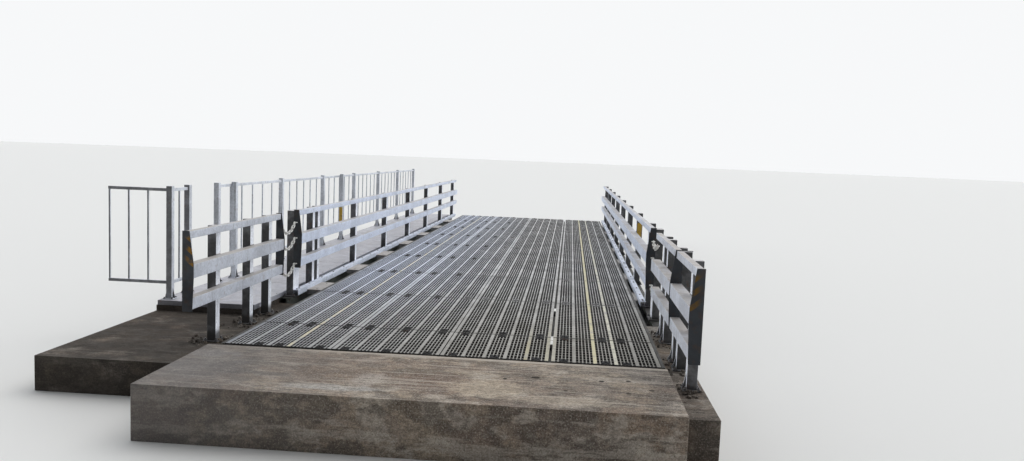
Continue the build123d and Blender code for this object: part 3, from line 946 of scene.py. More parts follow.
@dataclass(frozen=True)
class WeatheredConcrete(Finish):
    """Old concrete: warm patches, damp stains, scrapes and fine stones, with painted shade towards one side.
    """

    relief: float = 0.0035
    fine_share: float = 0.5
    broad_share: float = 0.5
    pit_share: float = 0.3
    cool: Colour = (0.20, 0.19, 0.18)
    brown: Colour = (0.185, 0.125, 0.09)
    damp: Colour = (0.075, 0.062, 0.052)
    pale: Colour = (0.48, 0.43, 0.37)
    worn: Colour = (0.50, 0.41, 0.30)
    # Painted shade: a darker, cooler tone that grows from the middle towards the shaded side.
    side_shade: Colour = (0.14, 0.135, 0.135)
    side_shade_share: float = 0.62
    shaded_side: float = 0.0
    lit_side: float = 0.0
    soil: Colour = (0.035, 0.031, 0.028)
    dirty: float = 0.0
    # The edge along the deck: its place along Y, and how wide it is black at the shaded and the lit side;
    # the black widens towards the shaded side as painted shade.
    joint: float | None = None
    joint_tone: Colour = (0.02, 0.018, 0.016)
    joint_shaded: float = 0.025
    joint_lit: float = 0.0025
    joint_wander: float = 0.03
    joint_slack: float = 0.001
    # How far the mortar reaches from the edge, how far it is whole, and its strength at either side; it is
    # fainter towards the shaded side as painted shade.
    mortar: float = 0.075
    mortar_whole: float = 0.0525
    mortar_shaded: float = 0.1
    mortar_lit: float = 0.75
    swept: Triple = (0.8, 1.1, 1.1)
    stains: tuple[Stain, ...] = ()
    spots: tuple[Stain, ...] = ()

    def colour(self, graph: Graph, place: Socket) -> Socket:
        """Lay patches, stains and dirt over the concrete.

        Args:
            graph: The material's nodes.
            place: Where each point lies.

        Returns:
            The colour over the surface.
        """
        ground = laid(graph, place, self.base, (
            Layer(self.cool, size=1.6, cover=0.5, soft=0.2, stretch=self.swept),
            Layer(self.brown, size=1.3, cover=0.5, soft=0.09, share=0.5, stretch=self.swept),
            Layer(self.worn, size=0.8, cover=0.4, soft=0.05, share=0.4, stretch=(0.9, 1.1, 1.0)),
            Layer(self.pale, size=0.17, cover=0.35, soft=0.045, share=0.6, stretch=self.swept),
            Layer(self.damp, size=0.2, cover=0.42, soft=0.045, share=0.6, stretch=self.swept),
            *self.stains,
            Layer(self.damp, size=0.03, cover=0.45, soft=0.08, share=0.4, stretch=(0.5, 1.3, 1.0)),
            Layer(self.pale, size=0.12, cover=0.2, soft=0.03, share=0.5, stretch=(0.12, 3.5, 1.0)),
            Layer(self.pale, size=0.012, cover=0.25, soft=0.05, share=0.5),
        ))
        stones = Crystals.on(graph, place, Size=0.008)
        ground = graph.toned(ground, graph.span(stones, start=0.0, stop=1.0, low=0.78, high=1.2))
        ground = self.pits().over(graph, place, ground)
        # Painted shade: darker and cooler towards the shaded side.
        if self.lit_side > self.shaded_side:
            across = graph.axes(place)[0]
            side_shade = graph.span(across, self.shaded_side, self.lit_side, low=self.side_shade_share, high=0.0)
            ground = graph.mix(side_shade, ground, self.side_shade)
        soiled = graph.span(graph.noise(place, scale=3.0, detail=6.0), start=0.25, stop=0.5, low=0.6)
        ground = graph.cover(ground, self.soil, soiled, self.dirty)
        ground = laid(graph, place, ground, self.spots)
        return ground if self.joint is None else self.edge(graph, place, ground)

    def pits(self) -> Layer:
        """Return the small dark pits."""
        return Layer(self.damp, size=0.018, cover=0.08, soft=0.03, share=0.7)

    def edge(self, graph: Graph, place: Socket, ground: Socket) -> Socket:
        """Lay a dark joint and a pale line of mortar along the deck, with painted shade that widens the
        joint and dims the mortar towards the shaded side.

        Args:
            graph: The material's nodes.
            place: Where each point lies.
            ground: The colour of the concrete.

        Returns:
            The colour of the concrete and its edge.
        """
        across, along, _ = graph.axes(place)
        back = graph.math("SUBTRACT", self.joint, along)
        beside = graph.math("GREATER_THAN", back, -self.joint_slack)
        wander = graph.wander(place, scale=14.0, reach=self.joint_wander, detail=4.0)
        uneven = graph.math("ADD", back, wander)
        share = graph.span(across, self.shaded_side, self.lit_side, low=self.mortar_shaded, high=self.mortar_lit)
        mortar = graph.span(uneven, self.mortar, self.mortar_whole)
        ground = graph.cover(ground, self.pale, mortar, graph.times(beside, share))
        width = graph.span(across, self.shaded_side, self.lit_side, low=self.joint_shaded, high=self.joint_lit)
        return graph.cover(ground, self.joint_tone, graph.math("LESS_THAN", uneven, width), beside)

    def height(self, graph: Graph, place: Socket) -> Socket:
        """Lay out a rough surface with worn hollows.

        Args:
            graph: The material's nodes.
            place: Where each point lies.

        Returns:
            The height over the surface.
        """
        fine = Grain.on(graph, place, Size=0.007)
        broad = Grain.on(graph, place, Size=0.09)
        pits = self.pits().mask(graph, place)
        both = graph.math("ADD", graph.times(fine, self.fine_share), graph.times(broad, self.broad_share))
        return graph.math("SUBTRACT", both, graph.times(pits, self.pit_share))


@dataclass(frozen=True)
class FadedPaint(Finish):
    """Old paint on steel: faded patches, drips, and bare or rusty edges."""

    faded: Colour = (0.5, 0.5, 0.5)
    under: Colour = (0.16, 0.08, 0.04)
    chips: float = 0.15
    drip_share: float = 0.25
    edge_share: float = 0.8
    dirt: Colour = (0.013, 0.012, 0.011)
    dirt_share: float = 0.0

    def colour(self, graph: Graph, place: Socket) -> Socket:
        """Lay wear and dirt over the paint.

        Args:
            graph: The material's nodes.
            place: Where each point lies.

        Returns:
            The colour over the surface.
        """
        paint = Layer(self.faded, size=0.35, cover=0.5, soft=0.2).over(graph, place, self.base)
        drips = Drips.on(graph, place, Width=0.02, Length=0.3, Cover=0.4)
        paint = graph.cover(paint, self.under, drips, self.drip_share)
        edges = WornEdges.on(graph, place, Radius=0.002, Size=0.03)
        chips = Stains.on(graph, place, Size=0.05, Cover=self.chips, Soft=0.03)
        bare = graph.math("MAXIMUM", graph.times(edges, self.edge_share), chips)
        paint = graph.mix(bare, paint, self.under)
        settled = SettledDust.on(graph, place, Size=0.5)
        return graph.cover(paint, self.dirt, settled, self.dirt_share)


@dataclass(frozen=True)
class BoltShape:
    """A bolt's sizes, as shares of its thread's diameter."""

    washer_radius: float = 1.15
    washer_top: float = 0.18
    head_radius: float = 0.95
    head_top: float = 0.78
    crown_radius: float = 0.8
    crown_top: float = 0.86
    crown_taper: float = 0.85
    stud_radius: float = 0.5
    stud_taper: float = 0.9
    round_sides: int = 12
    head_sides: int = 6
    stud_sides: int = 8


BOLT = BoltShape()


class Batch:
    """Gathers many small closed shapes that become one joined piece."""

    def __init__(self) -> None:
        """Start with nothing in it."""
        self.points: list[Vector] = []
        self.faces: list[tuple[int, ...]] = []
        self.finishes: list[int] = []

    def add(self, points: Iterable[Vector], faces: Iterable[tuple[int, ...]], finish: int = 0) -> None:
        """Add one shape.

        Args:
            points: Its corners.
            faces: Its faces, as numbers of its corners.
            finish: Which of the piece's finishes it has.
        """
        first = len(self.points)
        self.points.extend(points)
        for face in faces:
            self.faces.append(tuple(first + i for i in face))
            self.finishes.append(finish)

    def prism(self, outline: list[tuple[float, float]], low: float, high: float, place: Matrix,
              taper: float = 1.0, finish: int = 0) -> None:
        """Add a prism that stands on the place's level plane.

        Args:
            outline: Corners of its foot, anticlockwise.
            low: The level of its foot.
            high: The level of its top.
            place: Where it stands.
            taper: The size of its top as a share of its foot.
            finish: Which of the piece's finishes it has.
        """
        count = len(outline)
        foot = [place @ Vector((x, y, low)) for x, y in outline]
        top = [place @ Vector((x * taper, y * taper, high)) for x, y in outline]
        faces = [(i, (i + 1) % count, count + (i + 1) % count, count + i) for i in range(count)]
        faces.append(tuple(range(count, 2 * count)))
        faces.append(tuple(reversed(range(count))))
        self.add(foot + top, faces, finish)

    def box(self, low: Triple, high: Triple, finish: int = 0) -> None:
        """Add an upright box between two corners."""
        outline = [(low[0], low[1]), (high[0], low[1]), (high[0], high[1]), (low[0], high[1])]
        self.prism(outline, low[2], high[2], Matrix.Identity(4), finish=finish)

    def disc(self, radius: float, low: float, high: float, place: Matrix, sides: int = BOLT.round_sides,
             taper: float = 1.0, finish: int = 0) -> None:
        """Add a round or many-sided disc.

        Args:
            radius: The radius of its foot.
            low: The level of its foot.
            high: The level of its top.
            place: Where it stands.
            sides: The number of its sides.
            taper: The size of its top as a share of its foot.
            finish: Which of the piece's finishes it has.
        """
        turn = 2 * math.pi / sides
        outline = [(radius * math.cos(i * turn), radius * math.sin(i * turn)) for i in range(sides)]
        self.prism(outline, low, high, place, taper, finish)

    def bolt(self, place: Matrix, size: float, stud: float = 0.0, finish: int = 0) -> None:
        """Add a hexagonal head on a washer.

        Args:
            place: The surface that it sits on, with Z pointing out.
            size: The thread's diameter.
            stud: How far a stud stands out of the head.
            finish: Which of the piece's finishes it has.
        """
        washer, head, crown = size * BOLT.washer_top, size * BOLT.head_top, size * BOLT.crown_top
        self.disc(size * BOLT.washer_radius, 0.0, washer, place, finish=finish)
        self.disc(size * BOLT.head_radius, washer, head, place, BOLT.head_sides, finish=finish)
        self.disc(size * BOLT.crown_radius, head, crown, place, BOLT.head_sides, BOLT.crown_taper, finish)
        if stud:
            self.disc(size * BOLT.stud_radius, crown, crown + stud, place, BOLT.stud_sides,
                      BOLT.stud_taper, finish)

    def piece(self, name: str, slot: Slot, *finishes: Finish) -> bpy.types.Object:
        """Make the piece, and let it ride on the walkway.

        Args:
            name: The piece's name.
            slot: Not used.
            *finishes: Its finishes, in the order of their numbers.

        Returns:
            The new object.
        """
        mesh = bpy.data.meshes.new(name)
        mesh.from_pydata(self.points, [], self.faces)
        for finish in finishes:
            mesh.materials.append(finish.material())
        mesh.polygons.foreach_set("material_index", self.finishes)
        mesh.update()
        made = bpy.data.objects.new(name, mesh)
        bpy.context.scene.collection.objects.link(made)
        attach(made, BODY)
        log.info("%s: %d faces", name, len(self.faces))
        return made


def at(x: float, y: float, z: float) -> Matrix:
    """Return a level place at a point."""
    return Matrix.Translation((x, y, z))


def facing(x: float, y: float, z: float, out: Vector) -> Matrix:
    """Return a place at a point, with its Z along a direction."""
    return at(x, y, z) @ out.to_track_quat("Z", "Y").to_matrix().to_4x4()


def dress(nodes: Iterable[str], finish: Finish, round_edges: float = 0.0) -> None:
    """Give CAD nodes their finish, and rounded edges if they have them.

    Args:
        nodes: The nodes' names.
        finish: Their finish.
        round_edges: The width of the rounding, in metres, or 0.
    """
    for name in nodes:
        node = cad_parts[name]
        node.data.materials.clear()
        node.data.materials.append(finish.material())
        if round_edges:
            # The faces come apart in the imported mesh, so they are joined before their edges are rounded.
            weld = node.modifiers.new("weld", "WELD")
            weld.merge_threshold = WELD_REACH
            bevel = node.modifiers.new("round", "BEVEL")
            bevel.width = round_edges
            bevel.segments = EDGE_STEPS
            bevel.limit_method = "ANGLE"
            bevel.angle_limit = EDGE_ANGLE
            bevel.use_clamp_overlap = True
            node.modifiers.new("shade", "WEIGHTED_NORMAL")
        log.info("%s: %s", name, finish.name)


@dataclass(frozen=True)
class PaintedBand:
    """A painted band of the grating: its lane, its number there, and the paint on it."""

    lane: int
    number: int
    colour: Colour
    left_over: float
    reach: float = 200.0


@dataclass
class Deck:
    """The grating: fine bars and rods between the bands, clips over them, and brackets beside it."""

    rows: int = 9
    cells: int = 5
    band: float = 0.030
    bars: int = 4
    bar_width: float = 0.0086
    bar_drop: float = 0.0006
    bar_depth: float = 0.04
    end_bar: float = 0.008
    rod_pitch: float = 0.09
    rod_width: float = 0.0105
    rod_drop: float = 0.0032
    rod_depth: float = 0.036
    clip_length: float = 0.064
    clip_width: float = 0.076
    clip_setback: float = 0.054
    clip_plate: float = 0.002
    clip_bolt: float = 0.009
    # A clip's humps, as shares of its half length and half width, and of its plate's thickness.
    hump_place: float = 0.62
    hump_half: float = 0.26
    hump_width: float = 0.8
    hump_height: float = 1.5
    # The cells with clips, lane by lane. The clips before and at the first joints are black, and those
    # in the first cells from the left are seldom trodden.
    clipped_cells: tuple[tuple[int, ...], ...] = ((1, 2, 4), (0, 2, 4), (0, 2, 4), (0, 2, 3))
    dark_joints: int = 1
    untrodden_cells: int = 7
    # The lane with the wide gap on its left, and where the spacers in it start and stop.
    wide_gap_lane: int = 3
    spacer_places: tuple[tuple[float, float], ...] = ((0.62, 0.95), (2.2, 2.36))
    bracket_start: float = 0.6
    bracket_pitch: float = 1.72
    bracket_length: float = 0.56
    bracket_drop: float = 0.012
    bracket_bolt_place: float = 0.7
    strip_rounding: float = 0.0015
    painted_bands: tuple[PaintedBand, ...] = (
        PaintedBand(lane=3, number=2, colour=(0.60, 0.55, 0.35), left_over=0.8),
        PaintedBand(lane=3, number=3, colour=(0.62, 0.60, 0.49), left_over=0.65),
        PaintedBand(lane=2, number=4, colour=(0.41, 0.365, 0.235), left_over=0.85, reach=1.6),
        PaintedBand(lane=2, number=5, colour=(0.41, 0.38, 0.28), left_over=0.85, reach=2.2),
        PaintedBand(lane=3, number=0, colour=(0.41, 0.385, 0.31), left_over=0.8, reach=2.2),
        PaintedBand(lane=0, number=3, colour=(0.60, 0.55, 0.41), left_over=0.55),
        PaintedBand(lane=0, number=0, colour=(0.24, 0.25, 0.28), left_over=0.9),
    )

    def panels(self, row: int) -> tuple[Solid, ...]:
        """Return the panels of one row, from the left."""
        return solids(f"deck_row_{row + 1}")

    def pitch(self, panel: Solid) -> float:
        """Return the distance from band to band."""
        return (panel.size.x - self.band) / self.cells

    def stripe(self, painted: PaintedBand) -> Stripe:
        """Find the painted line on one band.

        Args:
            painted: The band.

        Returns:
            The line, at its place in the frame.
        """
        panel = self.panels(0)[painted.lane]
        left = panel.low.x + painted.number * self.pitch(panel)
        return Stripe(left, left + self.band, painted.colour, painted.left_over, painted.reach)

    def steel(self) -> DeckSteel:
        """Return the grating's finish."""
        corner = self.panels(0)[0]
        panel, following = self.panels(1)[0], self.panels(2)[0]
        return DeckSteel("deck_steel", base=(0.56, 0.56, 0.565), metallic=0.1, rough=0.55, top=panel.high.z,
                         near_edge=corner.low.y, sheen_side=corner.low.x,
                         first_joint=(panel.high.y + following.low.y) / 2,
                         joint_pitch=following.low.y - panel.low.y,
                         stripes=tuple(map(self.stripe, self.painted_bands)))

    def fill(self, row: int, finish: Finish) -> None:
        """Build the bars and rods of one row.

        Args:
            row: The row's number, from 0.
            finish: The grating's finish.
        """
        batch = Batch()
        for panel in self.panels(row):
            pitch = self.pitch(panel)
            hole = pitch - self.band
            gap = (hole - self.bars * self.bar_width) / (self.bars + 1)
            start = panel.low.y + self.end_bar
            stop = panel.high.y - self.end_bar
            top = panel.high.z
            for cell in range(self.cells):
                left = panel.low.x + cell * pitch + self.band
                for bar in range(self.bars):
                    x = left + gap + bar * (gap + self.bar_width)
                    batch.box((x, start, top - self.bar_depth),
                              (x + self.bar_width, stop, top - self.bar_drop))
            count = round((stop - start) / self.rod_pitch)
            space = (stop - start) / count
            for rod in range(count):
                y = start + (rod + 0.5) * space - self.rod_width / 2
                batch.box((panel.low.x + self.band / 2, y, top - self.rod_depth),
                          (panel.high.x - self.band / 2, y + self.rod_width, top - self.rod_drop))
        batch.piece(f"grating_bars_{row + 1}", Slot.DECK, finish)

    def clip(self, batch: Batch, x: float, y: float, z: float, finish: int) -> None:
        """Add one saddle clip: a plate with two humps over the bars and a bolt between them.

        Args:
            batch: Where the clip is gathered.
            x: Its place across the walkway.
            y: Its place along the walkway.
            z: The level of the grating's top.
            finish: Which of the piece's finishes it has.
        """
        half_x = self.clip_length / 2
        half_y = self.clip_width / 2
        plate = z + self.clip_plate
        top = plate + self.hump_height * self.clip_plate
        batch.box((x - half_x, y - half_y, z - self.clip_plate), (x + half_x, y + half_y, plate), finish)
        for side in (-1, 1):
            hump = x + side * half_x * self.hump_place
            low = (hump - half_x * self.hump_half, y - half_y * self.hump_width, plate)
            high = (hump + half_x * self.hump_half, y + half_y * self.hump_width, top)
            batch.box(low, high, finish)
        batch.bolt(at(x, y, plate), self.clip_bolt, finish=finish)

    def clips(self, dark: Finish, left_lanes: Finish, trodden: Finish) -> None:
        """Build the clips along the near edge and on both sides of every joint.

        Args:
            dark: The finish of the clips near the slab.
            left_lanes: The finish of the other clips at the left side.
            trodden: The finish of the other clips, where most people walk.
        """
        batch = Batch()
        for row in range(self.rows):
            for lane, (panel, clipped) in enumerate(zip(self.panels(row), self.clipped_cells)):
                pitch = self.pitch(panel)
                ends = (panel.low.y + self.clip_setback, panel.high.y - self.clip_setback)
                for cell in clipped:
                    x = panel.low.x + self.band + cell * pitch + (pitch - self.band) / 2
                    aside = 1 if lane * self.cells + cell <= self.untrodden_cells else 2
                    for end, y in enumerate(ends):
                        self.clip(batch, x, y, panel.high.z, aside if row + end > self.dark_joints else 0)
        batch.piece("saddle_clips", Slot.DECK, dark, left_lanes, trodden)

    def spacers(self, finish: Finish) -> None:
        """Build the pale spacers in the wide gap between two lanes.

        Args:
            finish: Their finish.
        """
        batch = Batch()
        lanes = self.panels(0)
        left = lanes[self.wide_gap_lane - 1].high.x
        right = lanes[self.wide_gap_lane].low.x
        top = lanes[0].high.z
        for start, stop in self.spacer_places:
            near = lanes[0].low.y + start
            batch.box((left, near, top - self.bar_depth), (right, near + stop - start, top - self.rod_drop))
        batch.piece("lane_spacers", Slot.DECK, finish)

    def brackets(self, finish: Finish) -> None:
        """Build the bolted brackets between the edge strips and the kerbs.

        Args:
            finish: Their finish.
        """
        batch = Batch()
        half = self.bracket_length / 2
        rib_half = self.rod_width / 2
        for strip in solids("edge_strips"):
            out = 1 if strip.centre.x > 0 else -1
            kerb = next(k for k in solids("kerbs") if k.centre.x * out > 0)
            inner = strip.high.x if out > 0 else strip.low.x
            outer = kerb.low.x if out > 0 else kerb.high.x
            left = min(inner, outer) - self.bar_width / 2
            right = max(inner, outer) + self.bar_width / 2
            top = strip.high.z - self.bracket_drop
            under = top - self.end_bar
            count = 1 + int((kerb.size.y - self.bracket_start - half) / self.bracket_pitch)
            for i in range(count):
                y = kerb.low.y + self.bracket_start + i * self.bracket_pitch
                batch.box((left, y - half, under), (right, y + half, top))
                for end in (-1, 1):
                    rib = y + end * (half - rib_half)
                    batch.box((left, rib - rib_half, strip.low.z), (right, rib + rib_half, under))
                    bolt = y + end * half * self.bracket_bolt_place
                    batch.bolt(at((inner + outer) / 2, bolt, top), self.clip_bolt)
        batch.piece("edge_brackets", Slot.RAIL, finish)

    def build(self) -> None:
        """Dress the grating and build its fine parts."""
        steel = self.steel()
        dress([f"deck_row_{row + 1}" for row in range(self.rows)], steel)
        for row in range(self.rows):
            self.fill(row, steel)
        dark = GalvanisedSteel("clip_steel", base=(0.042, 0.042, 0.045), dull=(0.026, 0.026, 0.026),
                               rough=0.85, edge_tone=(0.10, 0.10, 0.10), specular=0.12)
        trodden = GalvanisedSteel("trodden_clip_steel", base=(0.24, 0.24, 0.245), dull=(0.13, 0.13, 0.135),
                                  edge_tone=(0.5, 0.5, 0.5), specular=0.3)
        left_lanes = GalvanisedSteel("untrodden_clip_steel", base=(0.10, 0.10, 0.105),
                                    dull=(0.065, 0.065, 0.068), rough=0.8, edge_tone=(0.2, 0.2, 0.2),
                                    specular=0.15)
        self.clips(dark, left_lanes, trodden)
        dull = GalvanisedSteel("strip_steel", base=(0.07, 0.068, 0.065), dull=(0.035, 0.034, 0.032),
                               metallic=0.1, edge_tone=(0.3, 0.3, 0.3))
        dress(["edge_strips"], dull, self.strip_rounding)
        self.brackets(GalvanisedSteel("bracket_steel", base=(0.56, 0.55, 0.55), dull=(0.36, 0.345, 0.34),
                                      metallic=0.1, near_shade_share=0.5, dust_share=0.5, rust_cover=0.1))
        self.spacers(FadedPaint("spacer_paint", base=(0.82, 0.83, 0.8), faded=(0.7, 0.71, 0.68), chips=0.1))


def bolt_steel() -> GalvanisedSteel:
    """Return the finish of the bolts."""
    return GalvanisedSteel("bolt_steel", base=(0.2, 0.2, 0.21), dull=(0.10, 0.095, 0.09), metallic=0.3,
                           edge_tone=(0.35, 0.35, 0.36), rust_cover=0.12)


@dataclass(frozen=True)
class SideTones:
    """The tones of the guardrail that differ from side to side, and the slant of its stripes."""

    near_rail: Colour
    near_rail_dull: Colour
    plate_faded: Colour
    stripe_paint: Colour
    slant: float


@dataclass
class Guardrails:
    """Posts, rails, end plates, kerbs and chains of both guardrails."""

    lines: tuple[str, ...] = ("left_near", "right_near", "left_far", "right_far")
    levels: tuple[str, ...] = ("top", "middle", "lower")
    tones: dict[Side, SideTones] = field(default_factory=lambda: {
        Side.LEFT: SideTones(near_rail=(0.55, 0.58, 0.65), near_rail_dull=(0.43, 0.45, 0.505),
                             plate_faded=(0.075, 0.08, 0.087), stripe_paint=(0.30, 0.155, 0.03),
                             slant=0.8),
        Side.RIGHT: SideTones(near_rail=(0.66, 0.69, 0.77), near_rail_dull=(0.50, 0.52, 0.58),
                              plate_faded=(0.05, 0.055, 0.063), stripe_paint=(0.13, 0.075, 0.018),
                              slant=-0.8),
    })
    splash: float = 0.06
    anchor: float = 0.016
    anchor_inset: float = 0.02
    anchor_stud: float = 0.012
    plate_thickness: float = 0.012
    plate_margin: float = 0.0275
    stripe_reach: float = 0.30
    stripe_top_gap: float = 0.03
    stripe_width: float = 0.046
    striped_slack: float = 0.01
    # Across an end plate, the stripes start at the first share of its width and are whole from the second.
    bare_share: float = 0.1
    painted_share: float = 0.65
    bead: float = 0.006
    bead_sides: int = 8
    kerb_bolt: float = 0.011
    kerb_bolt_places: tuple[float, ...] = (0.05, 0.13)
    kerb_bolt_pitch: float = 0.5
    strap_width: float = 0.024
    strap_thickness: float = 0.004
    strap_leg: float = 0.045
    strap_tail: float = 0.075
    rail_rounding: float = 0.004
    post_rounding: float = 0.003
    kerb_rounding: float = 0.002
    thin_rounding: float = 0.0015
    marker_rounding: float = 0.0008

    def near_rail_steel(self, side: Side) -> GalvanisedSteel:
        """Return the finish of the near rails on one side."""
        tones = self.tones[side]
        return GalvanisedSteel(f"{side.value}_near_rail_steel", base=tones.near_rail,
                               dull=tones.near_rail_dull, rough=0.5, drip_share=0.3, near_shade_share=0.8,
                               dust_share=0.8, outward=side.out)

    def far_rail_steel(self, side: Side) -> GalvanisedSteel:
        """Return the finish of the far rails on one side, paler than the near ones."""
        return GalvanisedSteel(f"{side.value}_far_rail_steel", base=(0.70, 0.76, 0.90),
                               dull=(0.57, 0.62, 0.74), metallic=0.05, rough=0.45, drip_share=0.2,
                               near_shade_share=0.8, dust_share=0.75, outward=side.out)

    def post_steel(self, side: Side) -> GalvanisedSteel:
        """Return the posts' finish on one side."""
        # The near-white base is a painted highlight that shows on the faces towards the walkway; painted
        # shade darkens the faces towards the slab and outward.
        return GalvanisedSteel(f"{side.value}_post_steel", base=(0.93, 0.945, 1.0), dull=(0.80, 0.83, 0.90),
                               grime_and_shade=(0.032, 0.03, 0.028), specular=0.25, near_shade_share=0.95, dust_share=0.6,
                               drip_share=0.25, outward=side.out, splash=self.splash,
                               ground=solids("right_near_posts")[0].low.z)

    def end_plates(self, side: Side) -> None:
        """Dress the end plates of one side, the first with stripes.

        Args:
            side: The side.
        """
        tones = self.tones[side]
        node = f"{side.value}_end_plates"
        first = solids(node)[0]
        outer, inner = (first.low.x, first.high.x) if side is Side.LEFT else (first.high.x, first.low.x)
        width = inner - outer
        finish = WeatheredPlate(
            f"{side.value}_end_plate", base=(0.032, 0.035, 0.041), faded=tones.plate_faded,
            paint=tones.stripe_paint, rough=0.7, specular=0.2,
            stripe_from=first.high.z - self.stripe_reach, stripe_to=first.high.z - self.stripe_top_gap,
            striped_until=first.high.y + self.striped_slack, stripe=self.stripe_width, slant=tones.slant,
            bare_side=outer + self.bare_share * width, painted_side=outer + self.painted_share * width,
        )
        dress([node], finish, self.thin_rounding)

    def anchors(self, finish: Finish) -> None:
        """Build the anchor bolts at the posts' feet.

        Args:
            finish: Their finish.
        """
        batch = Batch()
        for line in self.lines:
            for post in solids(f"{line}_posts"):
                seat = post.low.z + self.plate_thickness
                for x in (post.low.x + self.anchor_inset, post.high.x - self.anchor_inset):
                    for y in (post.low.y + self.anchor_inset, post.high.y - self.anchor_inset):
                        batch.bolt(at(x, y, seat), self.anchor, stud=self.anchor_stud)
        batch.piece("anchor_bolts", Slot.POST, finish)

    def rails_of(self, line: str) -> list[Solid]:
        """Find the rails that one line of posts carries.

        Args:
            line: The line, as one of the names in lines.

        Returns:
            The rails.
        """
        side, part = line.split("_")
        nodes = [f"{side}_{level}_rail" for level in self.levels]
        if part == "near":
            nodes = [f"{side}_near_rails"]
        return [rail for node in nodes for rail in solids(node)]

    def weld_beads(self, finish: Finish) -> None:
        """Build the weld beads where the rails meet the posts.

        Args:
            finish: Their finish.
        """
        batch = Batch()
        for line in self.lines:
            for post in solids(f"{line}_posts"):
                start = post.low.y + self.plate_margin
                stop = post.high.y - self.plate_margin
                for rail in self.rails_of(line):
                    low, high = max(start, rail.low.y), min(stop, rail.high.y)
                    contact = rail.low.x if rail.centre.x < 0 else rail.high.x
                    for level in (rail.low.z, rail.high.z):
                        if low < high and level < post.high.z:
                            place = facing(contact, 0.0, level, ALONG)
                            batch.disc(self.bead, low, high, place, self.bead_sides)
        batch.piece("weld_beads", Slot.RAIL, finish)

    def kerb_bolts(self, finish: Finish) -> None:
        """Build the bolts on top of the kerbs.

        Args:
            finish: Their finish.
        """
        batch = Batch()
        for kerb in solids("kerbs"):
            count = int(kerb.size.y / self.kerb_bolt_pitch)
            places = [*self.kerb_bolt_places, *((i + 1) * self.kerb_bolt_pitch for i in range(count))]
            for place in places:
                if place < kerb.size.y - self.kerb_bolt:
                    batch.bolt(at(kerb.centre.x, kerb.low.y + place, kerb.high.z), self.kerb_bolt)
        batch.piece("kerb_bolts", Slot.RAIL, finish)

    def strap(self, finish: Finish) -> None:
        """Build the strap that is bent over the right top rail at the joint.

        Args:
            finish: Its finish.
        """
        batch = Batch()
        plate = solids("right_end_plates")[1]
        rail = max(solids("right_near_rails"), key=lambda r: (r.high.z, -r.low.y))
        start = plate.low.y - self.strap_width
        inner = rail.low.x - self.strap_thickness
        top = rail.high.z + self.strap_thickness
        batch.box((inner, start, rail.high.z), (rail.high.x + self.strap_tail, plate.low.y, top))
        batch.box((inner, start, rail.high.z - self.strap_leg), (rail.low.x, plate.low.y, top))
        batch.piece("rail_strap", Slot.END_PLATE, finish)

    def build(self) -> None:
        """Dress the guardrails and build their fixings."""
        for side in Side:
            name = side.value
            dress([f"{name}_near_rails"], self.near_rail_steel(side), self.rail_rounding)
            far_rails = [f"{name}_{level}_rail" for level in self.levels]
            dress(far_rails, self.far_rail_steel(side), self.rail_rounding)
            posts = [f"{name}_near_posts", f"{name}_far_posts"]
            dress(posts, self.post_steel(side), self.post_rounding)
            self.end_plates(side)
        kerb = GalvanisedSteel("kerb_steel", base=(0.66, 0.71, 0.83), dull=(0.52, 0.56, 0.65))
        dress(["kerbs"], kerb, self.kerb_rounding)
        self.anchors(bolt_steel())
        self.kerb_bolts(GalvanisedSteel("kerb_bolt_steel", base=(0.42, 0.43, 0.45), dull=(0.26, 0.26, 0.27),
                                        metallic=0.2, rust_cover=0.12))
        self.weld_beads(GalvanisedSteel("weld_steel", base=(0.42, 0.42, 0.44), dull=(0.25, 0.24, 0.23),
                                        rough=0.7, near_shade_share=0.6))
        self.strap(WeatheredPlate("strap_steel", base=(0.05, 0.05, 0.055), rough=0.7))
        chain = GalvanisedSteel("chain_steel", base=(0.84, 0.83, 0.80), dull=(0.62, 0.61, 0.59),
                                metallic=0.1, rough=0.45, near_shade_share=0.12, drip_share=0.2, rust_cover=0.15)
        dress(["left_chains", "right_chains"], chain, self.thin_rounding)
        marker = FadedPaint("marker_paint", base=(0.62, 0.38, 0.03), faded=(0.5, 0.33, 0.07))
        dress(["marker_plates"], marker, self.marker_rounding)


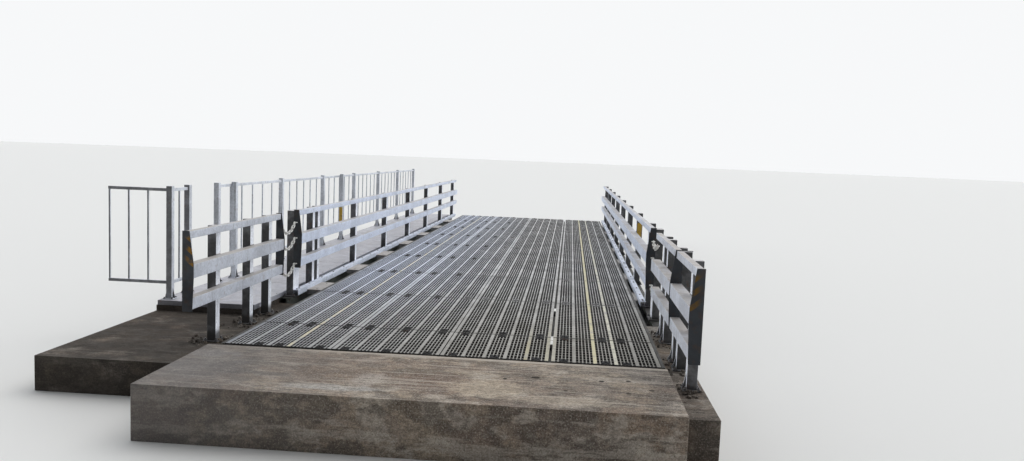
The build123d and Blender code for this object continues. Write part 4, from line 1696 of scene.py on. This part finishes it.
@dataclass
class FenceSide:
    """The side strip with its bearers, and the picket fence on it."""

    bays: int = 6
    foot_thickness: float = 0.008
    foot_margin: float = 0.025
    foot_bolt: float = 0.010
    foot_bolt_inset: float = 0.013
    foot_stud: float = 0.006
    shoe_height: float = 0.10
    shoe_thickness: float = 0.006
    screw: float = 0.007
    screw_height: float = 0.0028
    screw_taper: float = 0.7
    screw_pitch: float = 0.3
    screw_inset: float = 0.025
    # How far beyond the deck's near edge the painted shade on the fence posts' near faces reaches, and the
    # length over which it fades out.
    near_shade_until: float = 3.3
    near_shade_fade: float = 1.2
    strip_rounding: float = 0.0015
    fence_rounding: float = 0.002

    def gusset(self, batch: Batch, post: Solid, side: int) -> None:
        """Add the gusset at one side of a post's foot.

        Args:
            batch: Where the gusset is gathered.
            post: The post.
            side: 1 for the post's right side, -1 for its left side.
        """
        foot = post.high.x if side > 0 else post.low.x
        body = foot - side * self.foot_margin
        seat = post.low.z + self.foot_thickness
        y = post.centre.y - self.shoe_thickness / 2
        near = [Vector((body, y, seat)), Vector((foot, y, seat)), Vector((body, y, seat + self.shoe_height))]
        far = [corner + Vector((0.0, self.shoe_thickness, 0.0)) for corner in near]
        faces = [(0, 1, 2), (5, 4, 3), (0, 3, 4, 1), (1, 4, 5, 2), (2, 5, 3, 0)]
        if side < 0:
            faces = [tuple(reversed(face)) for face in faces]
        batch.add(near + far, faces)

    def shoes(self, finish: Finish, bolts: Finish) -> None:
        """Build the gussets and bolts at the feet of the fence posts.

        Args:
            finish: The gussets' finish.
            bolts: The bolts' finish.
        """
        batch = Batch()
        for post in solids("fence_posts"):
            seat = post.low.z + self.foot_thickness
            for side in (-1, 1):
                self.gusset(batch, post, side)
                foot = post.high.x if side > 0 else post.low.x
                for y in (post.low.y + self.foot_bolt_inset, post.high.y - self.foot_bolt_inset):
                    place = at(foot - side * self.foot_bolt_inset, y, seat)
                    batch.bolt(place, self.foot_bolt, stud=self.foot_stud, finish=1)
        batch.piece("fence_shoes", Slot.FENCE, finish, bolts)

    def screws(self, finish: Finish) -> None:
        """Build the screws along both edges of the side strip.

        Args:
            finish: Their finish.
        """
        batch = Batch()
        for plate in solids("side_strip"):
            count = max(2, round(plate.size.y / self.screw_pitch))
            pitch = (plate.size.y - 2 * self.screw_inset) / (count - 1)
            for x in (plate.low.x + self.screw_inset, plate.high.x - self.screw_inset):
                for i in range(count):
                    place = at(x, plate.low.y + self.screw_inset + i * pitch, plate.high.z)
                    batch.disc(self.screw, 0.0, self.screw_height, place, taper=self.screw_taper)
        batch.piece("strip_screws", Slot.STRIP, finish)

    def build(self) -> None:
        """Dress the strip and the fence, and build their fixings."""
        strip = GalvanisedSteel("strip_plate", base=(0.50, 0.51, 0.58), dull=(0.42, 0.42, 0.47),
                                metallic=0.1, rough=0.4, patch=0.9, drip_share=0.1, dust_share=0.2)
        dress(["side_strip"], strip, self.strip_rounding)
        steel = GalvanisedSteel("fence_steel", base=(0.74, 0.77, 0.83), dull=(0.56, 0.585, 0.63),
                                metallic=0.1, near_shade_share=0.8, near_shade_fade=self.near_shade_fade,
                                near_shade_until=deck_corner().y + self.near_shade_until, outward=Side.LEFT.out)
        panels = [f"fence_panel_{i + 1}" for i in range(self.bays)]
        dress(["fence_posts", "fence_short_panel", *panels], steel, self.fence_rounding)
        dark = GalvanisedSteel("shoe_steel", base=(0.16, 0.17, 0.18), dull=(0.09, 0.09, 0.095),
                               near_shade_share=0.5)
        self.shoes(dark, bolt_steel())
        self.screws(bolt_steel())


@dataclass
class Understructure:
    """Painted beams under the deck, the posts and the strip."""

    nodes: tuple[str, ...] = (
        "cross_beams", "edge_stringers", "inner_stringers", "post_beams", "strip_bearers",
    )
    rounding: float = 0.0012

    def build(self) -> None:
        """Dress the beams."""
        paint = FadedPaint("beam_paint", base=(0.20, 0.22, 0.20), faded=(0.15, 0.155, 0.14), chips=0.05,
                           dirt_share=1.0)
        dress(self.nodes, paint, self.rounding)


@dataclass
class Concrete:
    """The slab before the deck and the plinths beside it."""

    base: Colour = (0.315, 0.24, 0.178)
    rounding: float = 0.006
    stains: tuple[Stain, ...] = (
        Stain(x=-0.55, y=-0.75, half_width=0.80, half_length=0.30, colour=(0.165, 0.11, 0.08), share=0.55),
        Stain(x=0.12, y=-0.80, half_width=0.30, half_length=0.32, colour=(0.15, 0.095, 0.07), share=0.60),
        Stain(x=-0.40, y=-0.35, half_width=1.30, half_length=0.14, colour=(0.19, 0.13, 0.10), share=0.40),
        Stain(x=-1.65, y=-0.75, half_width=0.40, half_length=0.40, colour=(0.165, 0.16, 0.165), share=0.45),
        Stain(x=0.48, y=-0.87, half_width=0.34, half_length=0.24, colour=(0.56, 0.47, 0.36), share=0.60),
        Stain(x=0.98, y=-1.06, half_width=0.45, half_length=0.13, colour=(0.52, 0.45, 0.36), share=0.50),
        Stain(x=-0.38, y=-0.80, half_width=0.13, half_length=0.22, colour=(0.52, 0.48, 0.44), share=0.45),
        Stain(x=-0.58, y=-1.07, half_width=0.42, half_length=0.08, colour=(0.56, 0.55, 0.53), share=0.55),
        # This pale stain is a painted sky reflection near the slab's left edge.
        Stain(x=-1.78, y=-0.33, half_width=0.25, half_length=0.12, colour=(0.44, 0.42, 0.42), share=0.45),
        Stain(x=-1.20, y=-0.82, half_width=0.35, half_length=0.06, colour=(0.09, 0.085, 0.08), share=0.55),
    )
    spots: tuple[Stain, ...] = (
        spot(x=0.81, y=-0.515, half_width=0.042, half_length=0.034, share=0.95, colour=(0.02, 0.016, 0.013)),
        spot(x=1.30, y=-0.515, half_width=0.026, half_length=0.026, share=0.95),
        spot(x=1.50, y=-0.471, half_width=0.022, half_length=0.026, share=0.9),
        spot(x=0.585, y=-0.592, half_width=0.018, half_length=0.026, share=0.95),
        spot(x=1.482, y=-0.80, half_width=0.022, half_length=0.024, share=0.85),
        spot(x=1.654, y=-0.688, half_width=0.026, half_length=0.024, share=0.8),
        spot(x=1.037, y=-0.818, half_width=0.020, half_length=0.022, share=0.8),
    )
    ledge_stains: tuple[Stain, ...] = (
        Stain(x=1.90, y=1.75, half_width=0.22, half_length=0.50, colour=(0.50, 0.48, 0.45), share=0.75),
        Stain(x=2.24, y=0.30, half_width=0.12, half_length=0.35, colour=(0.50, 0.48, 0.45), share=0.60),
    )

    def placed(self, stains: tuple[Stain, ...]) -> tuple[Stain, ...]:
        """Return stains given from the middle of the deck's near edge, at their places in the frame."""
        corner = deck_corner()
        return tuple(replace(stain, x=corner.x + stain.x, y=corner.y + stain.y) for stain in stains)

    def plinth(self, side: Side, dirty: float, stains: tuple[Stain, ...] = ()) -> None:
        """Dress one plinth.

        Args:
            side: The side it lies on.
            dirty: How much dirt covers it.
            stains: Its stains.
        """
        name = f"{side.value}_plinth"
        finish = WeatheredConcrete(f"{name}_concrete", base=self.base, rough=0.9, specular=0.1, dirty=dirty,
                                   stains=self.placed(stains))
        dress([name], finish, self.rounding)

    def build(self) -> None:
        """Dress the concrete, the plinths with more dirt than the slab."""
        top = solids("approach_slab")[0]
        # The slab gets painted shade from its middle towards its left edge.
        slab = WeatheredConcrete("slab_concrete", base=self.base, rough=0.85, specular=0.2, joint=top.high.y,
                                 shaded_side=top.low.x, lit_side=top.centre.x,
                                 stains=self.placed(self.stains), spots=self.placed(self.spots))
        dress(["approach_slab"], slab, self.rounding)
        self.plinth(Side.LEFT, dirty=0.85)
        self.plinth(Side.RIGHT, dirty=0.45, stains=self.ledge_stains)


@dataclass
class Rubble:
    """Loose lumps of mortar and stone around the feet of the near posts."""

    seed: int = 5
    lumps: int = 26
    reach: float = 0.16
    smallest: float = 0.009
    largest: float = 0.032
    shrink: tuple[float, float] = (0.5, 1.0)
    sides: int = 7
    uneven: tuple[float, float] = (0.7, 1.15)
    tilt: tuple[float, float] = (-0.4, 0.4)
    sunk: float = 0.2
    height: tuple[float, float] = (0.4, 0.9)
    taper: tuple[float, float] = (0.45, 0.75)
    margin: float = 1.5

    def lump(self, batch: Batch, chance: random.Random, middle: Vector, size: float) -> None:
        """Add one uneven lump.

        Args:
            batch: Where the lump is gathered.
            chance: The source of its shape.
            middle: The place that it lies on.
            size: Its radius.
        """
        turn = 2 * math.pi / self.sides
        outline = []
        for i in range(self.sides):
            radius = size * chance.uniform(*self.uneven)
            outline.append((radius * math.cos(i * turn), radius * math.sin(i * turn)))
        sideways = Matrix.Rotation(chance.uniform(*self.tilt), 4, "X")
        lengthways = Matrix.Rotation(chance.uniform(*self.tilt), 4, "Y")
        place = Matrix.Translation(middle) @ sideways @ lengthways
        high = size * chance.uniform(*self.height)
        batch.prism(outline, -size * self.sunk, high, place, chance.uniform(*self.taper))

    def build(self) -> None:
        """Scatter the lumps on both plinths."""
        chance = random.Random(self.seed)
        batch = Batch()
        for side in Side:
            plinth = solids(f"{side.value}_plinth")[0]
            for post in solids(f"{side.value}_near_posts"):
                for _ in range(self.lumps):
                    size = chance.uniform(self.smallest, self.largest) * chance.uniform(*self.shrink)
                    x = chance.uniform(post.low.x - self.reach, post.high.x + self.reach)
                    y = chance.uniform(post.low.y - self.reach, post.high.y + self.reach)
                    margin = self.margin * size
                    if plinth.low.x + margin < x < plinth.high.x - margin:
                        self.lump(batch, chance, Vector((x, y, post.low.z)), size)
        stone = WeatheredConcrete("rubble", base=(0.20, 0.18, 0.16), rough=0.9, specular=0.1, dirty=0.5)
        batch.piece("rubble", Slot.CONCRETE, stone)


@dataclass
class Studio:
    """Floor, light and camera."""

    eye_offset: Triple = (0.999, -6.55, 1.645)
    yaw: float = math.radians(-3.89)
    pitch: float = math.radians(5.21)
    roll: float = math.radians(2.28)
    lens: float = 29.0
    sensor: float = 36.0
    sight: float = 500.0
    floor_radius: float = 300.0
    floor_sides: int = 96
    floor_colour: Colour = (0.80, 0.80, 0.79)
    floor_rough: float = 0.9
    sky_colour: Colour = (0.93, 0.94, 0.95)
    light_colour: Colour = (0.94, 0.97, 1.0)
    low_light: float = 2.4
    high_light: float = 0.7
    lamp_strength: float = 1.1
    lamp_colour: Colour = (1.0, 0.97, 0.93)
    lamp_spread: float = math.radians(50)
    lamp_heading: Triple = (-0.35, -0.6, -1.0)

    def floor(self) -> None:
        """Lay the pale floor under the walkway."""
        mesh = bpy.data.meshes.new("studio_floor")
        turn = 2 * math.pi / self.floor_sides
        rim = [(self.floor_radius * math.cos(i * turn), self.floor_radius * math.sin(i * turn), cad_low.z)
               for i in range(self.floor_sides)]
        mesh.from_pydata(rim, [], [tuple(range(self.floor_sides))])
        paint = bpy.data.materials.new("studio_floor")
        paint.use_nodes = True
        shader = paint.node_tree.nodes["Principled BSDF"]
        shader.inputs["Base Color"].default_value = (*self.floor_colour, 1.0)
        shader.inputs["Roughness"].default_value = self.floor_rough
        mesh.materials.append(paint)
        floor = bpy.data.objects.new("studio_floor", mesh)
        bpy.context.scene.collection.objects.link(floor)

    def world(self) -> None:
        """Light the room softly, most from both sides and from beyond the walkway."""
        world = bpy.data.worlds.new("studio")
        bpy.context.scene.world = world
        world.use_nodes = True
        world.node_tree.nodes.clear()
        graph = Graph(world.node_tree)
        direction = graph.node("ShaderNodeTexCoord").outputs["Generated"]
        across, along, upward = graph.axes(direction)
        beyond = graph.span(along, start=-0.5, stop=0.2, low=0.1, high=1.1)
        sides = graph.span(graph.math("ABSOLUTE", across), start=0.2, stop=0.8, low=0.7, high=1.1)
        level = graph.span(upward, start=0.0, stop=0.9, low=self.low_light, high=self.high_light)
        strength = graph.times(graph.times(beyond, sides), level)
        light = graph.node("ShaderNodeBackground", {"Color": self.light_colour, "Strength": strength})
        sky = graph.node("ShaderNodeBackground", {"Color": self.sky_colour, "Strength": 1.0})
        # The camera and mirrored rays see an even sky, and only the others take up the light.
        path = graph.node("ShaderNodeLightPath").outputs
        mirrored = graph.math("MAXIMUM", path["Is Glossy Ray"], path["Is Transmission Ray"])
        seen = graph.math("MAXIMUM", path["Is Camera Ray"], mirrored)
        both = graph.node("ShaderNodeMixShader", {0: seen, 1: light.outputs[0], 2: sky.outputs[0]})
        graph.node("ShaderNodeOutputWorld", {"Surface": both.outputs[0]})

    def lamp(self) -> None:
        """Hang one broad soft lamp, high and beyond the walkway."""
        light = bpy.data.lights.new("soft_lamp", "SUN")
        light.energy = self.lamp_strength
        light.color = self.lamp_colour
        light.angle = self.lamp_spread
        lamp = bpy.data.objects.new("soft_lamp", light)
        bpy.context.scene.collection.objects.link(lamp)
        lamp.rotation_mode = "QUATERNION"
        lamp.rotation_quaternion = Vector(self.lamp_heading).to_track_quat("-Z", "Y")

    def camera(self) -> None:
        """Set the camera at eye height before the slab, looking along the walkway."""
        ahead = Vector((math.sin(self.yaw) * math.cos(self.pitch),
                        math.cos(self.yaw) * math.cos(self.pitch),
                        -math.sin(self.pitch)))
        level = Vector((math.cos(self.yaw), -math.sin(self.yaw), 0.0))
        upward = level.cross(ahead)
        # The picture's own axes, turned by the roll about the line of sight.
        across = math.cos(self.roll) * level + math.sin(self.roll) * upward
        head = math.cos(self.roll) * upward - math.sin(self.roll) * level
        data = bpy.data.cameras.new("camera")
        data.lens = self.lens
        data.sensor_width = self.sensor
        data.clip_end = self.sight
        camera = bpy.data.objects.new("camera", data)
        bpy.context.scene.collection.objects.link(camera)
        turn = Matrix((across, head, -ahead)).transposed()
        eye = deck_corner() + Vector(self.eye_offset)
        camera.matrix_world = Matrix.Translation(eye) @ turn.to_4x4()
        bpy.context.scene.camera = camera

    def build(self) -> None:
        """Set up the whole studio."""
        bpy.context.scene.view_settings.view_transform = "Standard"
        self.floor()
        self.world()
        self.lamp()
        self.camera()


def main() -> None:
    """Build the walkway's looks in order."""
    logging.basicConfig(level=logging.INFO, format="%(name)s %(message)s")
    Studio().build()
    for part in (Concrete(), Rubble(), Understructure(), Deck(), Guardrails(), FenceSide()):
        part.build()


if __name__ == "__main__":
    main()
